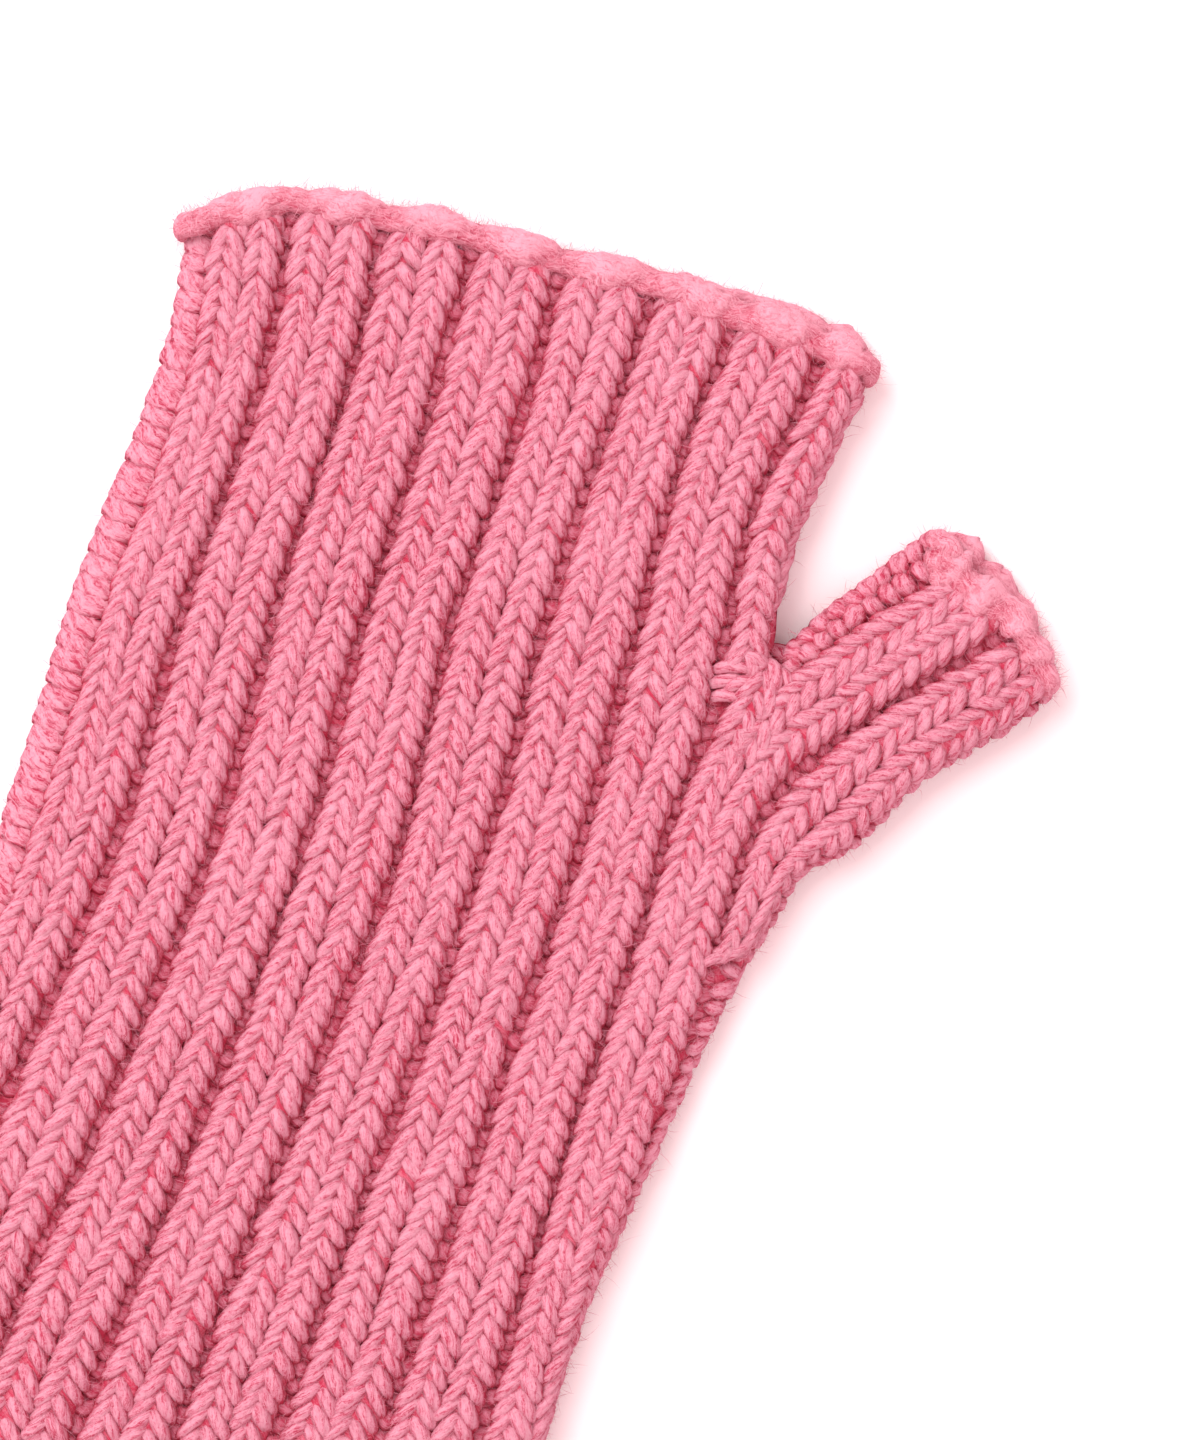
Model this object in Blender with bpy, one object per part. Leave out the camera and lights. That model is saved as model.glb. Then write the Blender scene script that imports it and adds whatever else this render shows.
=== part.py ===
"""A ribbed knitted arm warmer with a short thumb, lying flat on its back layer.

Run with: blender --background --python part.py

+Y runs along the arm to the fingers, +X points to the thumb's side and +Z is up. The origin is
under the middle of the whole piece. The tables are in millimetres, and solid() turns them into
metres.

The arm warmer is one flattened tube of two-by-two rib: pairs of raised knit columns (wales) with
narrow grooves between them. Both its layers are built from one plan, the outline with its fold
lines and open mouths. The front layer's plan also holds a line for each groove and each crest of
a rib, so its triangles follow the wales. The thumb tube is a second plan on a slanted seam.
"""
import bpy
import bmesh
import numpy as np
from mathutils import Vector
from mathutils.geometry import delaunay_2d_cdt

MM = 0.001

# Heights above the surface it lies on
GROOVE_Z = 5.9        # bottom of the grooves between the ribs
RIB_HEIGHT = 1.9      # a rib's crest above its groove
FOLD_Z = 3.4          # the outermost line of a folded side
BACK_WALL = 2.7       # thickness of the layer underneath
HOLLOW = 0.7          # height of the space between the layers

# Folded sides
SIDE_WALL = 3.2       # cloth beside the space between the layers
FOLD_OVER = 5.5       # width of the rounding above the fold line
FOLD_UNDER = 3.5      # width of the rounding below it
OVER_STEPS = (0.5, 1.5, 3.0)     # distances from the fold of the points that round it above
UNDER_STEPS = (0.6, 1.8, 3.5)    # and below
UNDER_GRID = 14.0     # spacing of points across the flat underside

# Rolled edges: the knitted cord round each mouth
ROLL_HALF_WIDTH = 2.2
ROLL_HALF_HEIGHT = 1.85
ROLL_FRONT_Z = 6.05
ROLL_BACK_Z = 1.8
ROLL_LUMP = 0.13      # a roll swells over each rib by this share
ROLL_SIDES = 8        # corners of the cord's cross-section
TURN_STEPS = 5        # sections in its half turn round a fold
SEAM = 0.3            # clearance between two pieces

# A rib across its pitch: place from groove to groove, and share of the full height
RIB_PROFILE = ((0.05, 0.04), (0.12, 0.76), (0.29, 1.0), (0.50, 0.62), (0.71, 1.0),
               (0.88, 0.76), (0.95, 0.04))
FIRST_WALE = RIB_PROFILE[:4]    # as far as the valley between a rib's two wales
LAST_RIB = 0.94       # pitch of the rib at the right-hand fold, by its neighbour's
NEW_RIB_FROM = 4.0    # the gusset's second rib starts where its band is this wide,
NEW_RIB_FULL = 7.5    # and has its full height from this width
FOLD_CLEAR = 0.6      # a wale's line stops this close to the fold
CORNER_DROP = 0.7     # the left corner of the finger end is this much lower, clear of the roll
WALE_CLEAR = 0.4      # and points on the rounding keep this far from a wale's line

# The tube by its height along the arm. edge is where the first rib starts, g1 to g7 are the
# grooves, and right is the fold of the hand and of the arm. Between the crotch and the gusset's
# base the fold is the gusset's, and right only leads one to the other.
SECTION = ("y", "left", "edge", "g1", "g2", "g3", "g4", "g5", "g6", "g7", "right")
SECTIONS = np.array((
    (-145.5, -64.2, -58.8, -46.9, -34.5, -22.3,  -9.9,   2.4,  14.8,  27.1,  37.7),
    (-60.0,  -63.5, -58.6, -46.6, -34.2, -21.9,  -9.8,   2.5,  14.9,  27.1,  36.6),
    (   4.5, -62.4, -57.8, -45.9, -33.4, -21.0,  -9.4,   2.7,  15.1,  26.9,  35.3),
    (  17.3, -60.6, -56.1, -44.8, -32.1, -20.4,  -9.0,   2.9,  14.6,  26.0,  34.6),
    (  30.0, -58.9, -54.1, -43.9, -31.6, -19.9,  -8.5,   2.9,  14.8,  25.4,  35.2),
    (  42.7, -57.8, -53.0, -42.9, -31.0, -19.4,  -8.4,   2.9,  14.1,  24.8,  36.1),
    (  55.5, -57.8, -53.2, -42.4, -30.8, -19.4,  -7.9,   2.8,  13.9,  24.6,  37.2),
    (  68.2, -58.3, -54.0, -42.9, -31.2, -20.0,  -8.3,   2.4,  13.8,  24.1,  35.7),
    (  81.0, -59.1, -54.5, -44.3, -32.5, -21.3,  -9.8,   1.5,  13.2,  23.3,  34.4),
    (  93.7, -59.1, -54.5, -44.8, -33.6, -22.4, -11.3,  -0.3,  11.7,  23.3,  31.2),
    ( 106.4, -58.6, -54.1, -44.6, -33.9, -23.2, -12.1,  -1.0,  10.4,  21.7,  28.7),
    ( 119.2, -58.9, -55.0, -45.5, -34.6, -23.7, -12.1,  -1.7,   8.9,  19.7,  26.5),
    ( 131.9, -60.9, -58.0, -47.6, -36.1, -24.7, -13.0,  -1.5,   8.5,  20.1,  26.9),
    ( 139.6, -61.4, -59.9, -49.0, -37.1, -25.5, -14.1,  -1.7,   9.2,  20.8,  28.0)))
GROOVES = ("g1", "g2", "g3", "g4", "g5", "g6", "g7")

# The gusset's rows fan out from level at its base to the thumb's slanted seam. inner is where
# the thumb's first rib starts, groove is the thumb's groove, and fold is the outer fold.
GUSSET = ("inner_x", "inner_y", "groove_x", "groove_y", "fold_x", "fold_y")
GUSSET_ROWS = np.array((
    (24.6,  55.5, 34.8,  55.5, 37.2,  55.5),
    (24.1,  68.2, 34.1,  68.2, 39.0,  68.2),
    (23.7,  74.6, 33.8,  74.6, 40.3,  74.6),
    (23.3,  81.0, 33.6,  81.3, 41.7,  81.8),
    (23.7,  88.6, 34.3,  88.0, 45.6,  85.4),
    (26.0,  97.3, 36.7,  94.2, 48.1,  89.6),
    (32.4, 103.9, 40.0,  98.9, 49.4,  92.6)))
GUSSET_STEPS = np.array((0, 0.5, 1, 2, 3, 3.5, 4, 4.5, 5, 5.5, 6))
GUSSET_MEETS = 3      # from this row up the thumb's first rib leaves groove g7

# The crotch, and the thumb by its height above the seam: its upper fold, the start of its first
# rib, its groove and its lower fold, measured across from the crotch
CROTCH = np.array((28.7, 106.4))
THUMB_LEAN = np.radians(56.4)
THUMB = ("s", "upper", "inner", "groove", "lower")
THUMB_ROWS = np.array((
    ( 0.0,  0.0, 4.4, 13.6, 24.9),
    ( 5.7, -1.3, 4.6, 14.0, 24.0),
    (10.2, -1.6, 4.9, 14.7, 24.6),
    (15.0, -1.6, 5.4, 15.6, 25.0),
    (20.1, -1.8, 6.0, 16.6, 25.5),
    (27.0, -1.7, 6.4, 17.4, 25.2)))
THUMB_STEP = 4.6

# Outer line of each rolled edge, left to right, and how far the front layer's roll stays behind
# the back layer's
FINGER_LINE = np.array((
    (-62.0, 133.0), (-52.2, 141.2), (-39.5, 144.2), (-25.5, 146.2), (-14.0, 146.9),
    ( -2.5, 148.4), (  8.0, 149.5), ( 16.6, 150.0), ( 24.0, 149.3), ( 28.6, 147.4)))
FINGER_PEEK = ((-62.0, 0.0), (0.0, 0.0), (6.0, 1.2), (24.0, 1.2), (28.6, 0.6))
THUMB_LINE = np.array((
    (-1.2, 28.2), (4.0, 30.1), (10.8, 30.9), (17.0, 30.0), (24.8, 27.8)))
THUMB_PEEK = ((-1.2, 0.2), (4.0, 1.8), (10.8, 2.3), (17.0, 1.8), (24.8, 0.2))
ARM_LINE_Y = -150.0
ARM_ENDS = (-64.3, 37.9)

# Rows of the front layer's plan
GUSSET_BASE_Y = 55.5
HAND_ROW = 6.35
ARM_ROWS = 21
ARM_MOUTH_Y = ARM_LINE_Y + 2 * ROLL_HALF_WIDTH + SEAM

CLOTH_COLOURS = {"body_tube": (0.84, 0.30, 0.42), "thumb_tube": (0.85, 0.32, 0.44),
                 "rolled_edge": (0.93, 0.45, 0.56)}


def curve(knots, values, at):
    """A smooth cubic through values at the rising knots, with each slope from its neighbours."""
    knots, values, at = np.asarray(knots, float), np.asarray(values, float), np.asarray(at, float)
    slopes = np.gradient(values, knots)
    i = np.clip(np.searchsorted(knots, at) - 1, 0, len(knots) - 2)
    width = knots[i + 1] - knots[i]
    t = np.clip((at - knots[i]) / width, 0.0, 1.0)
    rise = values[i + 1] - values[i]
    ease = (3 - 2 * t) * t * t
    bend = t * (1 - t) * width * (slopes[i] * (1 - t) - slopes[i + 1] * t)
    return values[i] + rise * ease + bend


def section(name, y):
    """Where a line of the tube lies across the arm at height y."""
    return curve(SECTIONS[:, 0], SECTIONS[:, SECTION.index(name)], y)


def gusset(name, row):
    """The point of one gusset line on a row, which may lie between two rows of the table."""
    column = GUSSET.index(name + "_x")
    rows = np.arange(len(GUSSET_ROWS))
    return np.stack([curve(rows, GUSSET_ROWS[:, column + k], row) for k in (0, 1)], axis=-1)


def thumb(name, s):
    """How far across from the crotch a line of the thumb lies, at s above the seam."""
    return curve(THUMB_ROWS[:, 0], THUMB_ROWS[:, THUMB.index(name)], s)


ALONG = np.array((np.cos(THUMB_LEAN), np.sin(THUMB_LEAN)))
ACROSS = np.array((np.sin(THUMB_LEAN), -np.cos(THUMB_LEAN)))


def on_thumb(s, t):
    """The plan point at s along the thumb and t across it."""
    s, t = np.broadcast_arrays(np.asarray(s, float), np.asarray(t, float))
    return CROTCH + s[..., None] * ALONG + t[..., None] * ACROSS


def set_in(points, distance):
    """A line moved sideways, to the right of its own direction."""
    run = np.gradient(points, axis=0)
    run /= np.linalg.norm(run, axis=1, keepdims=True)
    return points + distance * np.stack((run[:, 1], -run[:, 0]), axis=1)


def edge_line(table, peek, count=60):
    """The outer line of a rolled edge on the back and on the front layer, closely stepped."""
    x = np.linspace(table[0, 0], table[-1, 0], count)
    back = np.stack((x, curve(table[:, 0], table[:, 1], x)), axis=1)
    lag = np.interp(x, [p[0] for p in peek], [p[1] for p in peek])
    return back, back - np.stack((np.zeros(count), lag), axis=1)


def mouth_at(line, x):
    """Height of the cloth's cut end under a rolled edge, at x across."""
    cut = set_in(line, 2 * ROLL_HALF_WIDTH + SEAM)
    return np.interp(x, cut[:, 0], cut[:, 1])


FINGER_BACK, FINGER_FRONT = edge_line(FINGER_LINE, FINGER_PEEK)
THUMB_BACK, THUMB_FRONT = edge_line(THUMB_LINE, THUMB_PEEK)


def finger_mouth(x, line=FINGER_FRONT):
    """Height of the tube's finger end at x."""
    return mouth_at(line, x)


def thumb_mouth(t, line=THUMB_FRONT):
    """Height of the thumb's end above its seam, at t across."""
    return mouth_at(line, t)


def end_on_mouth(across, mouth, start):
    """Where a wale, whose place across is across(height), meets a mouth line."""
    height = start
    for _ in range(6):
        height = float(mouth(across(height)))
    return height


def hand_rows(top):
    """Row heights from just under the finger end down to the crotch, top first."""
    rows = GUSSET_BASE_Y + HAND_ROW * np.arange(1, 15)
    return rows[(rows < top - 1.5)][::-1]


ARM_ROW_Y = np.linspace(GUSSET_BASE_Y, ARM_MOUTH_Y, ARM_ROWS + 1)


class Plan:
    """One layer seen from above: its outline first, then the lines that its triangles keep."""

    def __init__(self, outline):
        self.points = []
        self.relief = []
        self.edges = []
        self.line(outline, 0.0, closed=True)
        self.outline = len(outline)

    def line(self, points, relief, closed=False):
        """Adds a line whose points have one relief, or each its own."""
        start = len(self.points)
        self.points += [Vector(p) for p in points]
        self.relief += list(np.full(len(points), relief))
        self.edges += [(start + i, start + i + 1) for i in range(len(points) - 1)]
        if closed:
            self.edges.append((len(self.points) - 1, start))

    def dots(self, points):
        """Adds single points, each at the relief that the lines round it give."""
        plan, relief, faces, _ = self.triangles()
        faces = np.array(faces)
        a, b, c = (plan[faces[:, k]] for k in range(3))
        offset = points[:, None] - a
        area = np.cross(b - a, c - a)
        to_b, to_c = np.cross(offset, c - a) / area, np.cross(b - a, offset) / area
        weights = np.stack((1 - to_b - to_c, to_b, to_c), axis=-1)
        home = weights.min(axis=-1).argmax(axis=1)
        weights = weights[np.arange(len(points)), home]
        self.points += [Vector(p) for p in points]
        self.relief += list((weights * relief[faces[home]]).sum(axis=-1))

    def triangles(self):
        """The plan's points, rib heights, triangles, and where each outline point went."""
        points, _, faces, origin, _, _ = delaunay_2d_cdt(self.points, self.edges, [], 1, 1e-4)
        place = {}
        relief = np.zeros(len(points))
        for k, sources in enumerate(origin):
            for source in sources:
                place[source] = k
                relief[k] = max(relief[k], self.relief[source])
        ring = [place[i] for i in range(self.outline)]
        return np.array([tuple(p) for p in points]), relief, faces, ring


def to_lines(points, lines):
    """Distance of each point to the nearest of some lines."""
    nearest = np.full(len(points), 1e9)
    for line in lines:
        run = np.diff(line, axis=0)
        real = (run * run).sum(-1) > 1e-9
        a, run = line[:-1][real], run[real]
        offset = points[:, None] - a[None]
        share = np.clip((offset * run).sum(-1) / (run * run).sum(-1), 0, 1)
        gap = np.linalg.norm(offset - share[..., None] * run, axis=-1)
        nearest = np.minimum(nearest, gap.min(axis=1))
    return nearest


def quarter(distance, width):
    """A quarter round: 0 at the fold, 1 from width inwards."""
    return np.sqrt(1 - (1 - np.clip(distance / width, 0, 1)) ** 2)


def top_height(points, relief, folds):
    """The front layer rises from the fold line, and its ribs fade out on the rounding."""
    distance = to_lines(points, folds)
    crest = relief * RIB_HEIGHT * np.clip(distance / 2.5, 0, 1)
    return FOLD_Z + (GROOVE_Z - FOLD_Z) * quarter(distance, FOLD_OVER) + crest


def under_height(points, folds):
    """The back layer is flat on the surface, with a round under each fold."""
    return FOLD_Z * (1 - quarter(to_lines(points, folds), FOLD_UNDER))


def fold_lines():
    """The left fold, the fold from hand to thumb, and the one from thumb to arm."""
    y = np.linspace(ARM_LINE_Y, 150.0, 90)
    left = np.stack((section("left", y), y), axis=1)
    down_hand = np.linspace(150.0, CROTCH[1], 14)
    hand = np.stack((section("right", down_hand), down_hand), axis=1)
    up_thumb = np.linspace(0.0, 34.0, 12)
    hand = np.concatenate((hand, on_thumb(up_thumb, thumb("upper", up_thumb))))
    down_thumb = up_thumb[::-1]
    outer = on_thumb(down_thumb, thumb("lower", down_thumb))
    rows = np.linspace(len(GUSSET_ROWS) - 1, 0, 20)[1:]
    arm = np.linspace(GUSSET_BASE_Y, ARM_LINE_Y, 40)[1:]
    outer = np.concatenate((outer, gusset("fold", rows),
                            np.stack((section("right", arm), arm), axis=1)))
    return [left, hand, outer]


def material(name, colour):
    """Soft wool: no shine, evenly coloured."""
    new = bpy.data.materials.new(name)
    new.use_nodes = True
    shader = new.node_tree.nodes["Principled BSDF"]
    shader.inputs["Base Color"].default_value = (*colour, 1.0)
    shader.inputs["Roughness"].default_value = 0.95
    shader.inputs["Metallic"].default_value = 0.0
    return new


def solid(name, points, faces, colour, smooth_angle=75):
    """An object from points in millimetres, with its faces turned outwards."""
    mesh = bpy.data.meshes.new(name)
    mesh.from_pydata([tuple(p * MM) for p in np.asarray(points, float)], [], faces)
    shape = bmesh.new()
    shape.from_mesh(mesh)
    bmesh.ops.recalc_face_normals(shape, faces=shape.faces)
    shape.to_mesh(mesh)
    shape.free()
    mesh.shade_smooth()
    mesh.set_sharp_from_angle(angle=np.radians(smooth_angle))
    mesh.materials.append(material(name + "_wool", colour))
    item = bpy.data.objects.new(name, mesh)
    bpy.context.collection.objects.link(item)
    return item


def two_layers(name, front, back, mouths, folds, colour):
    """A closed slab from a front and a back plan with matching outlines.

    On a fold the two layers share a point. Along a mouth each ends on a line of its own, with
    an upright face, and where one is longer a ledge at the height of the hollow joins them.
    mouths holds the first and last outline number of each mouth.
    """
    top, relief, top_faces, top_ring = front.triangles()
    under, _, under_faces, under_ring = back.triangles()
    count = len(top_ring)
    open_ends = [i for first, last in mouths for i in range(first + 1, last)]
    number = {under_ring[i]: top_ring[i] for i in set(range(count)) - set(open_ends)}
    rest = [k for k in range(len(under)) if k not in number]
    number.update({k: len(top) + j for j, k in enumerate(rest)})
    high = np.column_stack((top, top_height(top, relief, folds)))
    low = np.column_stack((under, under_height(under, folds)))[rest]
    points = [*high, *low]
    ledge_z = BACK_WALL + 0.5 * HOLLOW
    front_ledge, back_ledge = list(top_ring), list(top_ring)
    for i in open_ends:
        front_ledge[i] = back_ledge[i] = len(points)
        points.append((*top[top_ring[i]], ledge_z))
        if np.linalg.norm(top[top_ring[i]] - under[under_ring[i]]) > 0.01:
            back_ledge[i] = len(points)
            points.append((*under[under_ring[i]], ledge_z))
    faces = [list(f) for f in top_faces] + [[number[k] for k in f] for f in under_faces]
    under_edge = [number[k] for k in under_ring]
    for upper, lower in ((top_ring, front_ledge), (front_ledge, back_ledge),
                         (back_ledge, under_edge)):
        for i in [i for first, last in mouths for i in range(first, last)]:
            j = (i + 1) % count
            corners = list(dict.fromkeys((upper[i], upper[j], lower[j], lower[i])))
            if len(corners) > 2:
                faces.append(corners)
    return solid(name, points, faces, colour)


def hollow_out(item, outline):
    """Cuts the flat space between the layers, a prism that runs out through the mouths."""
    low, high = BACK_WALL, BACK_WALL + HOLLOW
    count = len(outline)
    points = np.concatenate((np.column_stack((outline, np.full(count, low))),
                             np.column_stack((outline, np.full(count, high)))))
    faces = [list(range(count)), list(range(count, 2 * count))]
    faces += [[i, (i + 1) % count, count + (i + 1) % count, count + i] for i in range(count)]
    cutter = solid(item.name + "_hollow", points, faces, (0.5, 0.5, 0.5))
    cutter.hide_render = True
    cutter.display_type = "WIRE"
    cut = item.modifiers.new("hollow", "BOOLEAN")
    cut.operation = "DIFFERENCE"
    cut.solver = "EXACT"
    cut.object = cutter


def inside(points, ring):
    """Whether each point lies in a ring, by counting the sides that a ray to +X crosses."""
    a, b = ring, np.roll(ring, -1, axis=0)
    x, y = points[:, :1], points[:, 1:]
    spans = (a[:, 1] > y) != (b[:, 1] > y)
    rise = np.where(a[:, 1] == b[:, 1], 1.0, b[:, 1] - a[:, 1])
    at_x = a[:, 0] + (y - a[:, 1]) * (b[:, 0] - a[:, 0]) / rise
    return (spans & (x < at_x)).sum(axis=1) % 2 == 1


def fold_dots(ring, mouths, folds, steps, lines=()):
    """Points that round a layer's edge, stepped inwards from the folds and clear of the wales."""
    on_mouth = {i % len(ring) for first, last in mouths for i in range(first, last + 1)}
    fold_points = np.array([i for i in range(len(ring)) if i not in on_mouth])
    round_crotch = np.radians(np.linspace(190, 325, 6))
    wales = [line for line in lines if len(line) > 1]
    found = []
    for step in steps:
        inwards = set_in(np.concatenate((ring[-1:], ring, ring[:1])), step)[1:-1]
        dots = np.concatenate((inwards[fold_points], CROTCH + step * np.column_stack(
            (np.cos(round_crotch), np.sin(round_crotch)))))
        clear = to_lines(dots, folds) > 0.9 * step
        if wales:
            clear &= to_lines(dots, wales) > WALE_CLEAR
        found.append(dots[clear & inside(dots, ring)])
    return np.concatenate(found)


def flat_dots(ring):
    """A wide grid of points across the flat underside."""
    x, y = np.meshgrid(np.arange(ring[:, 0].min(), ring[:, 0].max(), UNDER_GRID),
                       np.arange(ring[:, 1].min(), ring[:, 1].max(), UNDER_GRID))
    dots = np.column_stack((x.ravel(), y.ravel()))
    closed = np.concatenate((ring, ring[:1]))
    return dots[inside(dots, ring) & (to_lines(dots, [closed]) > 1.2 * FOLD_UNDER)]


def wale(across):
    """A line up the whole tube at across(y), ending on the finger mouth."""
    top = end_on_mouth(across, finger_mouth, 140.0)
    y = np.concatenate(([top], hand_rows(top), ARM_ROW_Y))
    return np.stack((across(y), y), axis=1)


def body_tube(folds):
    """Arm, hand and gusset: one tube with mouths at the fingers, the thumb and the arm."""
    lines = []
    for left_name, right_name in zip(("edge",) + GROOVES[:-1], GROOVES):
        for place, share in ((0.0, 0.0),) + RIB_PROFILE:
            lines.append((wale(lambda y: section(left_name, y) * (1 - place)
                               + section(right_name, y) * place), share))
    lines.append((wale(lambda y: section("g7", y)), 0.0))

    def last_pitch(y):
        return LAST_RIB * (section("g7", y) - section("g6", y))

    # the hand's last rib, down to the crotch
    for place, share in FIRST_WALE:
        def across(y):
            return section("g7", y) + place * last_pitch(y)
        points = wale(across)
        points = points[points[:, 1] > CROTCH[1] - 1]
        lines.append((points[points[:, 0] < section("right", points[:, 1]) - FOLD_CLEAR], share))
    finger_ends = [points[0] for points, _ in lines]

    # the arm's last rib and groove, up to the gusset's base
    y = ARM_ROW_Y[1:]
    arm_ends = [points[-1] for points, _ in lines if points[-1, 1] < 0]
    for place, share in RIB_PROFILE + ((1.0, 0.0),):
        points = np.stack((section("g7", y) + place * last_pitch(y), y), axis=1)
        points = points[points[:, 0] < section("right", y) - FOLD_CLEAR]
        if len(points):
            lines.append((points, share))
            if points[-1, 1] == y[-1]:
                arm_ends.append(points[-1])

    # the gusset's two ribs, row by row from its base to the seam
    inner, groove, fold = (gusset(name, GUSSET_STEPS) for name in ("inner", "groove", "fold"))
    for ends in (inner, groove, fold):
        ends[-1] -= 0.5 * SEAM * ALONG
    seam_ends = [inner[-1], groove[-1]]
    lines.append((inner[GUSSET_STEPS > GUSSET_MEETS], 0.0))
    lines.append((groove, 0.0))
    for place, share in RIB_PROFILE:
        points = inner + place * (groove - inner)
        lines.append((points, share))
        seam_ends.append(points[-1])
    width = np.linalg.norm(fold - groove, axis=1)
    wide = width > NEW_RIB_FROM
    growth = np.clip((width[wide] - NEW_RIB_FROM) / (NEW_RIB_FULL - NEW_RIB_FROM), 0, 1)
    for place, share in RIB_PROFILE[:5]:
        points = groove + place * (fold - groove)
        lines.append((points[wide], share * growth))
        seam_ends.append(points[-1])
    lower_end = fold[-1]
    crotch_end = CROTCH - 0.5 * SEAM * ALONG
    for share in (0.35, 0.7):
        seam_ends.append(crotch_end + share * (inner[-1] - crotch_end))
    seam_ends.sort(key=lambda p: p[0])

    # the outline: up the left fold, along the fingers, down to the crotch, along the seam,
    # down the gusset and the arm, and back along the arm's mouth
    left_y = np.concatenate((ARM_ROW_Y[::-1], hand_rows(132.0)[::-1]))
    left = np.stack((section("left", left_y), left_y), axis=1)
    corner_y = end_on_mouth(lambda y: section("left", y), finger_mouth, 130.0) - CORNER_DROP
    left = left[left[:, 1] < corner_y - 1.5]
    corner = np.array(((section("left", corner_y), corner_y),))
    right_corner_y = end_on_mouth(lambda y: section("right", y), finger_mouth, 143.0)
    right_y = hand_rows(right_corner_y)
    right_y = np.concatenate(([right_corner_y], right_y[right_y > CROTCH[1] + 2]))
    right = np.stack((section("right", right_y), right_y), axis=1)
    fingers = np.array(sorted(finger_ends, key=lambda p: p[0]))
    down_gusset = fold[:-1][::-1]
    down_arm = np.stack((section("right", y), y), axis=1)
    arm_mouth = np.array(sorted(arm_ends, key=lambda p: -p[0]))
    front_ring = np.concatenate((left, corner, fingers, right, [crotch_end], seam_ends,
                                 [lower_end], down_gusset, down_arm, arm_mouth))
    first = len(left)
    finger_last = first + len(fingers) + 1
    seam_first = finger_last + len(right)
    seam_last = seam_first + len(seam_ends) + 1
    arm_first = seam_last + len(down_gusset) + len(down_arm)
    mouths = ((first, finger_last), (seam_first, seam_last), (arm_first, len(front_ring)))

    front = Plan(front_ring)
    for points, share in lines:
        front.line(points, share)
    back_ring = front_ring.copy()
    for i in range(first + 1, finger_last):
        back_ring[i, 1] = finger_mouth(back_ring[i, 0], FINGER_BACK)
    front.dots(fold_dots(front_ring, mouths, folds, OVER_STEPS, [p for p, _ in lines]))
    back = Plan(back_ring)
    back.dots(fold_dots(back_ring, mouths, folds, UNDER_STEPS))
    back.dots(flat_dots(back_ring))
    item = two_layers("body_tube", front, back, mouths, folds, CLOTH_COLOURS["body_tube"])

    # the space inside, a wall's width in from every fold and out through the three mouths
    inside_left = np.array(((section("left", ARM_LINE_Y), ARM_LINE_Y - 5.0), *left, *corner,
                            (section("left", corner_y), 160.0))) + (SIDE_WALL, 0)
    inside_hand = np.array(((section("right", right_corner_y), 160.0), *right,
                            CROTCH)) - (SIDE_WALL, 0)
    thumb_sides = np.array((SIDE_WALL, SIDE_WALL, thumb("lower", 0) - SIDE_WALL))
    inside_thumb = np.array((CROTCH - SIDE_WALL * ALONG,
                             *on_thumb(np.array((-1.0, 2.0, 2.0)), thumb_sides)))
    inside_gusset = set_in(np.concatenate((down_gusset[1:], down_arm)), SIDE_WALL)
    end = np.array(((inside_gusset[-1, 0], ARM_LINE_Y - 5.0),))
    hollow_out(item, np.concatenate((inside_left, inside_hand, inside_thumb, inside_gusset, end)))
    return item


def thumb_tube(folds):
    """The short thumb above its seam, with two ribs and a band of plain rows on its upper side."""
    start = 0.5 * SEAM
    lines = []
    ends = []

    def line(across, share):
        top = end_on_mouth(across, thumb_mouth, 25.0)
        s = np.arange(start, top - 1.5, THUMB_STEP)
        s = np.append(s, top)
        points = on_thumb(s, across(s))
        lines.append((points, share))
        ends.append((float(across(start)), points[0], points[-1]))

    for place in (0.25, 0.6):
        line(lambda s: thumb("upper", s) * (1 - place) + thumb("inner", s) * place, 0.0)
    for low, high, profile in (("inner", "groove", ((0.0, 0.0),) + RIB_PROFILE),
                               ("groove", "lower", ((0.0, 0.0),) + RIB_PROFILE[:5])):
        for place, share in profile:
            line(lambda s: thumb(low, s) * (1 - place) + thumb(high, s) * place, share)
    ends.sort(key=lambda e: e[0])

    s = np.arange(start, 24.0, THUMB_STEP)
    upper_top = end_on_mouth(lambda q: thumb("upper", q), thumb_mouth, 22.0)
    lower_top = end_on_mouth(lambda q: thumb("lower", q), thumb_mouth, 22.0)
    up = np.append(s[s < upper_top - 1.5], upper_top)
    down = np.append(s[s < lower_top - 1.5], lower_top)[::-1]
    upper = on_thumb(up, thumb("upper", up) + np.where(up == start, 0.1, 0.0))
    lower = on_thumb(down, thumb("lower", down))
    front_ring = np.concatenate((upper, [e[2] for e in ends], lower, [e[1] for e in ends[::-1]]))
    tip = (len(upper) - 1, len(upper) + len(ends))
    root = (tip[1] + len(lower) - 1, len(front_ring))
    mouths = (tip, root)

    front = Plan(front_ring)
    for points, share in lines:
        front.line(points, share)
    back_ring = front_ring.copy()
    for i in range(tip[0] + 1, tip[1]):
        t = (back_ring[i] - CROTCH) @ ACROSS
        back_ring[i] = on_thumb(thumb_mouth(t, THUMB_BACK), t)
    front.dots(fold_dots(front_ring, mouths, folds, OVER_STEPS, [p for p, _ in lines]))
    back = Plan(back_ring)
    back.dots(fold_dots(back_ring, mouths, folds, UNDER_STEPS))
    back.dots(flat_dots(back_ring))
    item = two_layers("thumb_tube", front, back, mouths, folds, CLOTH_COLOURS["thumb_tube"])
    s = np.array((-3.0, 6.0, 12.0, 18.0, 36.0))
    hollow_out(item, np.concatenate((
        on_thumb(s, thumb("upper", s) + SIDE_WALL),
        on_thumb(s[::-1], thumb("lower", s[::-1]) - SIDE_WALL))))
    return item


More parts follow.
